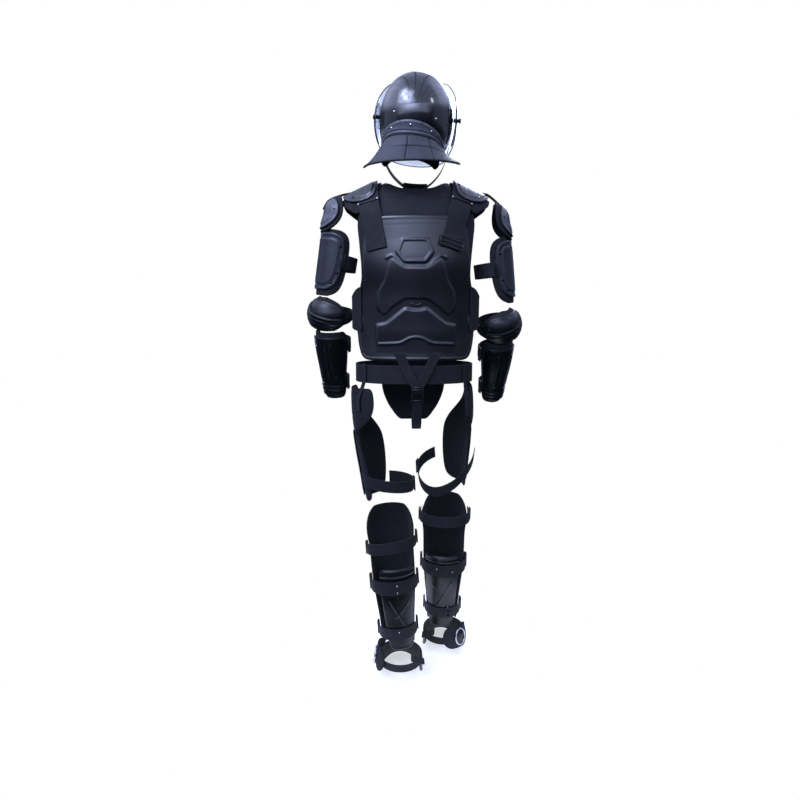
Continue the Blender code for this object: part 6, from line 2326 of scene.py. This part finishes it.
def small_parts():
    """Rivets, stitches and binding, one mesh for each body and finish."""
    studs = rivet_tree()
    grown("nickel_rivets", studs, point_mesh(RIVETS["nickel"]), {"Material": NICKEL})
    grown("black_rivets", studs, point_mesh(RIVETS["black"]), {"Material": BLACKENED})
    grown("visor_knob_screws", studs, point_mesh(RIVETS["visor"]), {"Material": NICKEL}, "visor")
    grown("stitches", stitch_tree(), line_mesh(SEAMS), {"Material": THREAD})
    tapes = binding_tree()
    for index, radius in enumerate(sorted({radius for _, radius, _ in TAPES})):
        chosen = [(line, closed) for line, size, closed in TAPES if size == radius]
        lines = [(line, np.zeros_like(line) + (0, 0, 1), closed) for line, closed in chosen]
        given = {"Radius": radius, "Material": BINDING}
        grown(f"edge_binding_{index}", tapes, line_mesh(lines), given)


# ---- studio

FLOOR = -1.5355
FLOOR_RADIUS = 0.46
FLOOR_BACK = 0.20
FLOOR_GLOW = {"Emission Color": (1.0, 1.0, 1.0, 1.0), "Emission Strength": 0.55}
SOFTBOXES = (
    # name, degrees to the right of the camera's side, height in degrees, width, height, watts, colour
    ("key", -40.0, 46.0, 2.90, 1.90, 215.0, "#C9D6FF"),
    ("patch", 62.0, 34.0, 0.56, 0.56, 10.0, "#DCE4FF"),
    ("chest", 160.0, 30.0, 1.80, 1.80, 120.0, "#E2E9FF"),
)
LAMP_DISTANCE = 3.0
LAMP_AIM = Vector((0.0, 0.05, -0.10))


def span(tree, value, *edges):
    """One where a value lies between the middle two of four edges, fading to nothing at the outer two."""
    rise = add(tree, "ShaderNodeMapRange", {0: value, 1: edges[0], 2: edges[1], 3: 0.0, 4: 1.0})
    fall = add(tree, "ShaderNodeMapRange", {0: value, 1: edges[2], 2: edges[3], 3: 1.0, 4: 0.0})
    return add(tree, "ShaderNodeMath", {0: rise, 1: fall}, operation="MULTIPLY")


PANELS = (
    # where each panel of light starts, is full, stays full and ends, by the sine of its direction to the
    # right, forward and up; strength
    ((-0.80, -0.38, -0.10, 0.36), (-3.0, -2.0, -0.2, 0.0), (0.20, 0.34, 0.415, 0.435), 5.0),
    ((-0.92, -0.80, 0.62, 0.86), (-3.0, -2.0, -0.2, 0.0), (0.10, 0.18, 0.405, 0.44), 1.6),
    ((-0.66, -0.50, -0.10, 0.06), (-3.0, -2.0, -0.2, 0.0), (0.44, 0.45, 0.56, 0.66), 3.2),
    ((-1.30, -1.20, -0.55, -0.30), (-0.8, -0.6, 0.6, 0.8), (0.36, 0.50, 0.86, 0.95), 1.0),
    ((0.30, 0.55, 1.20, 1.30), (-0.1, 0.1, 0.8, 0.95), (0.36, 0.50, 0.86, 0.95), 0.9),
    ((-1.30, -1.20, -0.86, -0.74), (-0.5, -0.3, 0.5, 0.7), (-0.10, 0.0, 0.45, 0.55), 0.35),
    ((0.74, 0.86, 1.20, 1.30), (-0.5, -0.3, 0.5, 0.7), (-0.10, 0.0, 0.45, 0.55), 0.25),
)
DARK_LIGHT = 0.03
CEILING_LIGHT = 0.75
CEILING_PANEL = 0.165  # half its width, as a share of its height over the suit
BACKDROP_LIGHT = 1.10


def surround():
    """White to the eye and through the visor, and in light and reflections a plain studio.

    It has a window and dim walls behind the camera, a panelled ceiling, and a white backdrop behind the suit.
    """
    world = bpy.data.worlds.new("studio")
    bpy.context.scene.world = world
    world.use_nodes = True
    tree = world.node_tree
    way = add(tree, "ShaderNodeTexCoord", out="Generated")
    x, y, z = add(tree, "ShaderNodeSeparateXYZ", {0: way}, out=None)
    total = add(tree, "ShaderNodeValue")
    total.default_value = DARK_LIGHT
    for right, forward, up, strength in PANELS:
        panel = span(tree, x, *right)
        for other in (span(tree, y, *forward), span(tree, z, *up)):
            panel = add(tree, "ShaderNodeMath", {0: panel, 1: other}, operation="MULTIPLY")
        total = add(tree, "ShaderNodeMath", {0: panel, 1: strength, 2: total}, operation="MULTIPLY_ADD")
    over = add(tree, "ShaderNodeMath", {0: x, 1: z}, operation="DIVIDE")
    seams = add(tree, "ShaderNodeMath", {0: over, 1: CEILING_PANEL}, operation="PINGPONG")
    seams = add(tree, "ShaderNodeMapRange", {0: seams, 1: 0.012, 2: 0.026, 3: 0.10, 4: 1.0})
    areas = (
        (y, (0.60, 0.82, 2.0, 3.0), span(tree, z, -0.45, -0.10, 0.10, 0.20), BACKDROP_LIGHT),
        (z, (0.34, 0.44, 2.0, 3.0), seams, CEILING_LIGHT),
    )
    for axis, edges, share, strength in areas:
        area = add(tree, "ShaderNodeMath", {0: span(tree, axis, *edges), 1: share}, operation="MULTIPLY")
        total = add(tree, "ShaderNodeMath", {0: area, 1: strength, 2: total}, operation="MULTIPLY_ADD")
    ray = add(tree, "ShaderNodeLightPath", out=None)
    seen = {0: ray["Is Camera Ray"], 1: ray["Is Transmission Ray"]}
    seen = add(tree, "ShaderNodeMath", seen, operation="MAXIMUM")
    strength = add(tree, "ShaderNodeMix", {0: seen, 2: total, 3: 1.0}, data_type="FLOAT")
    cool = {0: seen, 6: linear("#C8D4FF"), 7: (1.0, 1.0, 1.0, 1.0)}
    cool = add(tree, "ShaderNodeMix", cool, out=2, data_type="RGBA")
    shader = tree.nodes["Background"]
    tree.links.new(cool, shader.inputs["Color"])
    tree.links.new(strength, shader.inputs["Strength"])


def studio():
    """A pale floor, the surround, softboxes and the camera."""
    turns = np.linspace(0, 2 * math.pi, 96, endpoint=False)
    rim = FLOOR_RADIUS * np.stack([np.cos(turns), np.sin(turns), 0 * turns], axis=1) + (0, FLOOR_BACK, FLOOR)
    data = bpy.data.meshes.new("studio_floor")
    data.from_pydata(rim.tolist(), [], [tuple(range(len(rim)))])
    # white studio paper, lit from under as a light table is, so that it stays clean
    pale = grained("pale_floor_paper", "#E9E9EA", "#F1F1F2", 0.85, 0.92, 40.0, 0.0001, FLOOR_GLOW)
    linked("studio_floor", data, (pale,))
    surround()
    for name, right, height, width, tall, watts, colour in SOFTBOXES:
        lamp = bpy.data.lights.new(name, "AREA")
        lamp.shape = "RECTANGLE"
        lamp.size, lamp.size_y = width, tall
        lamp.energy = watts
        lamp.color = linear(colour)[:3]
        lamp.use_nodes = True
        # each is bright in the middle, uneven as cloth over a lamp is, and fades to nothing at its borders
        tree = lamp.node_tree
        place = add(tree, "ShaderNodeNewGeometry", out="Parametric")
        u, v, _ = add(tree, "ShaderNodeSeparateXYZ", {0: place}, out=None)
        folds = add(tree, "ShaderNodeTexNoise", {"Vector": place, "Scale": 4.0, "Detail": 3.0})
        folds = add(tree, "ShaderNodeMapRange", {0: folds, 1: 0.36, 2: 0.62, 3: 0.30, 4: 1.25})
        for value in (u, v):
            fade = span(tree, value, 0.02, 0.34, 0.66, 0.98)
            folds = add(tree, "ShaderNodeMath", {0: folds, 1: fade}, operation="MULTIPLY")
        tree.links.new(folds, tree.nodes["Emission"].inputs["Strength"])
        right, height = math.radians(right), math.radians(height)
        level_way = Vector((math.sin(right), -math.cos(right), 0.0))
        away = level_way * math.cos(height) + Vector((0.0, 0.0, math.sin(height)))
        holder = bpy.data.objects.new(name, lamp)
        holder.location = LAMP_AIM + LAMP_DISTANCE * away
        holder.rotation_euler = (-away).to_track_quat("-Z", "Y").to_euler()
        bpy.context.scene.collection.objects.link(holder)

    camera = bpy.data.cameras.new("camera")
    camera.lens, camera.sensor_width = 27.0, 36.0
    eye = bpy.data.objects.new("camera", camera)
    eye.location = (-0.05, -1.85, -0.35)
    eye.rotation_euler = (math.radians(82), 0, 0)
    bpy.context.scene.collection.objects.link(eye)
    bpy.context.scene.camera = eye
    bpy.context.scene.view_settings.view_transform = "Standard"


# ---- the suit

vest()
for end, hand in (("left", -1), ("right", 1)):
    shoulder(end, hand)
    side_panel(end, hand)
helmet()
visor()
for values in ARMS:
    arm(*values)
waist_belt()
groin()
for values in LEGS:
    leg(*values)
small_parts()
studio()
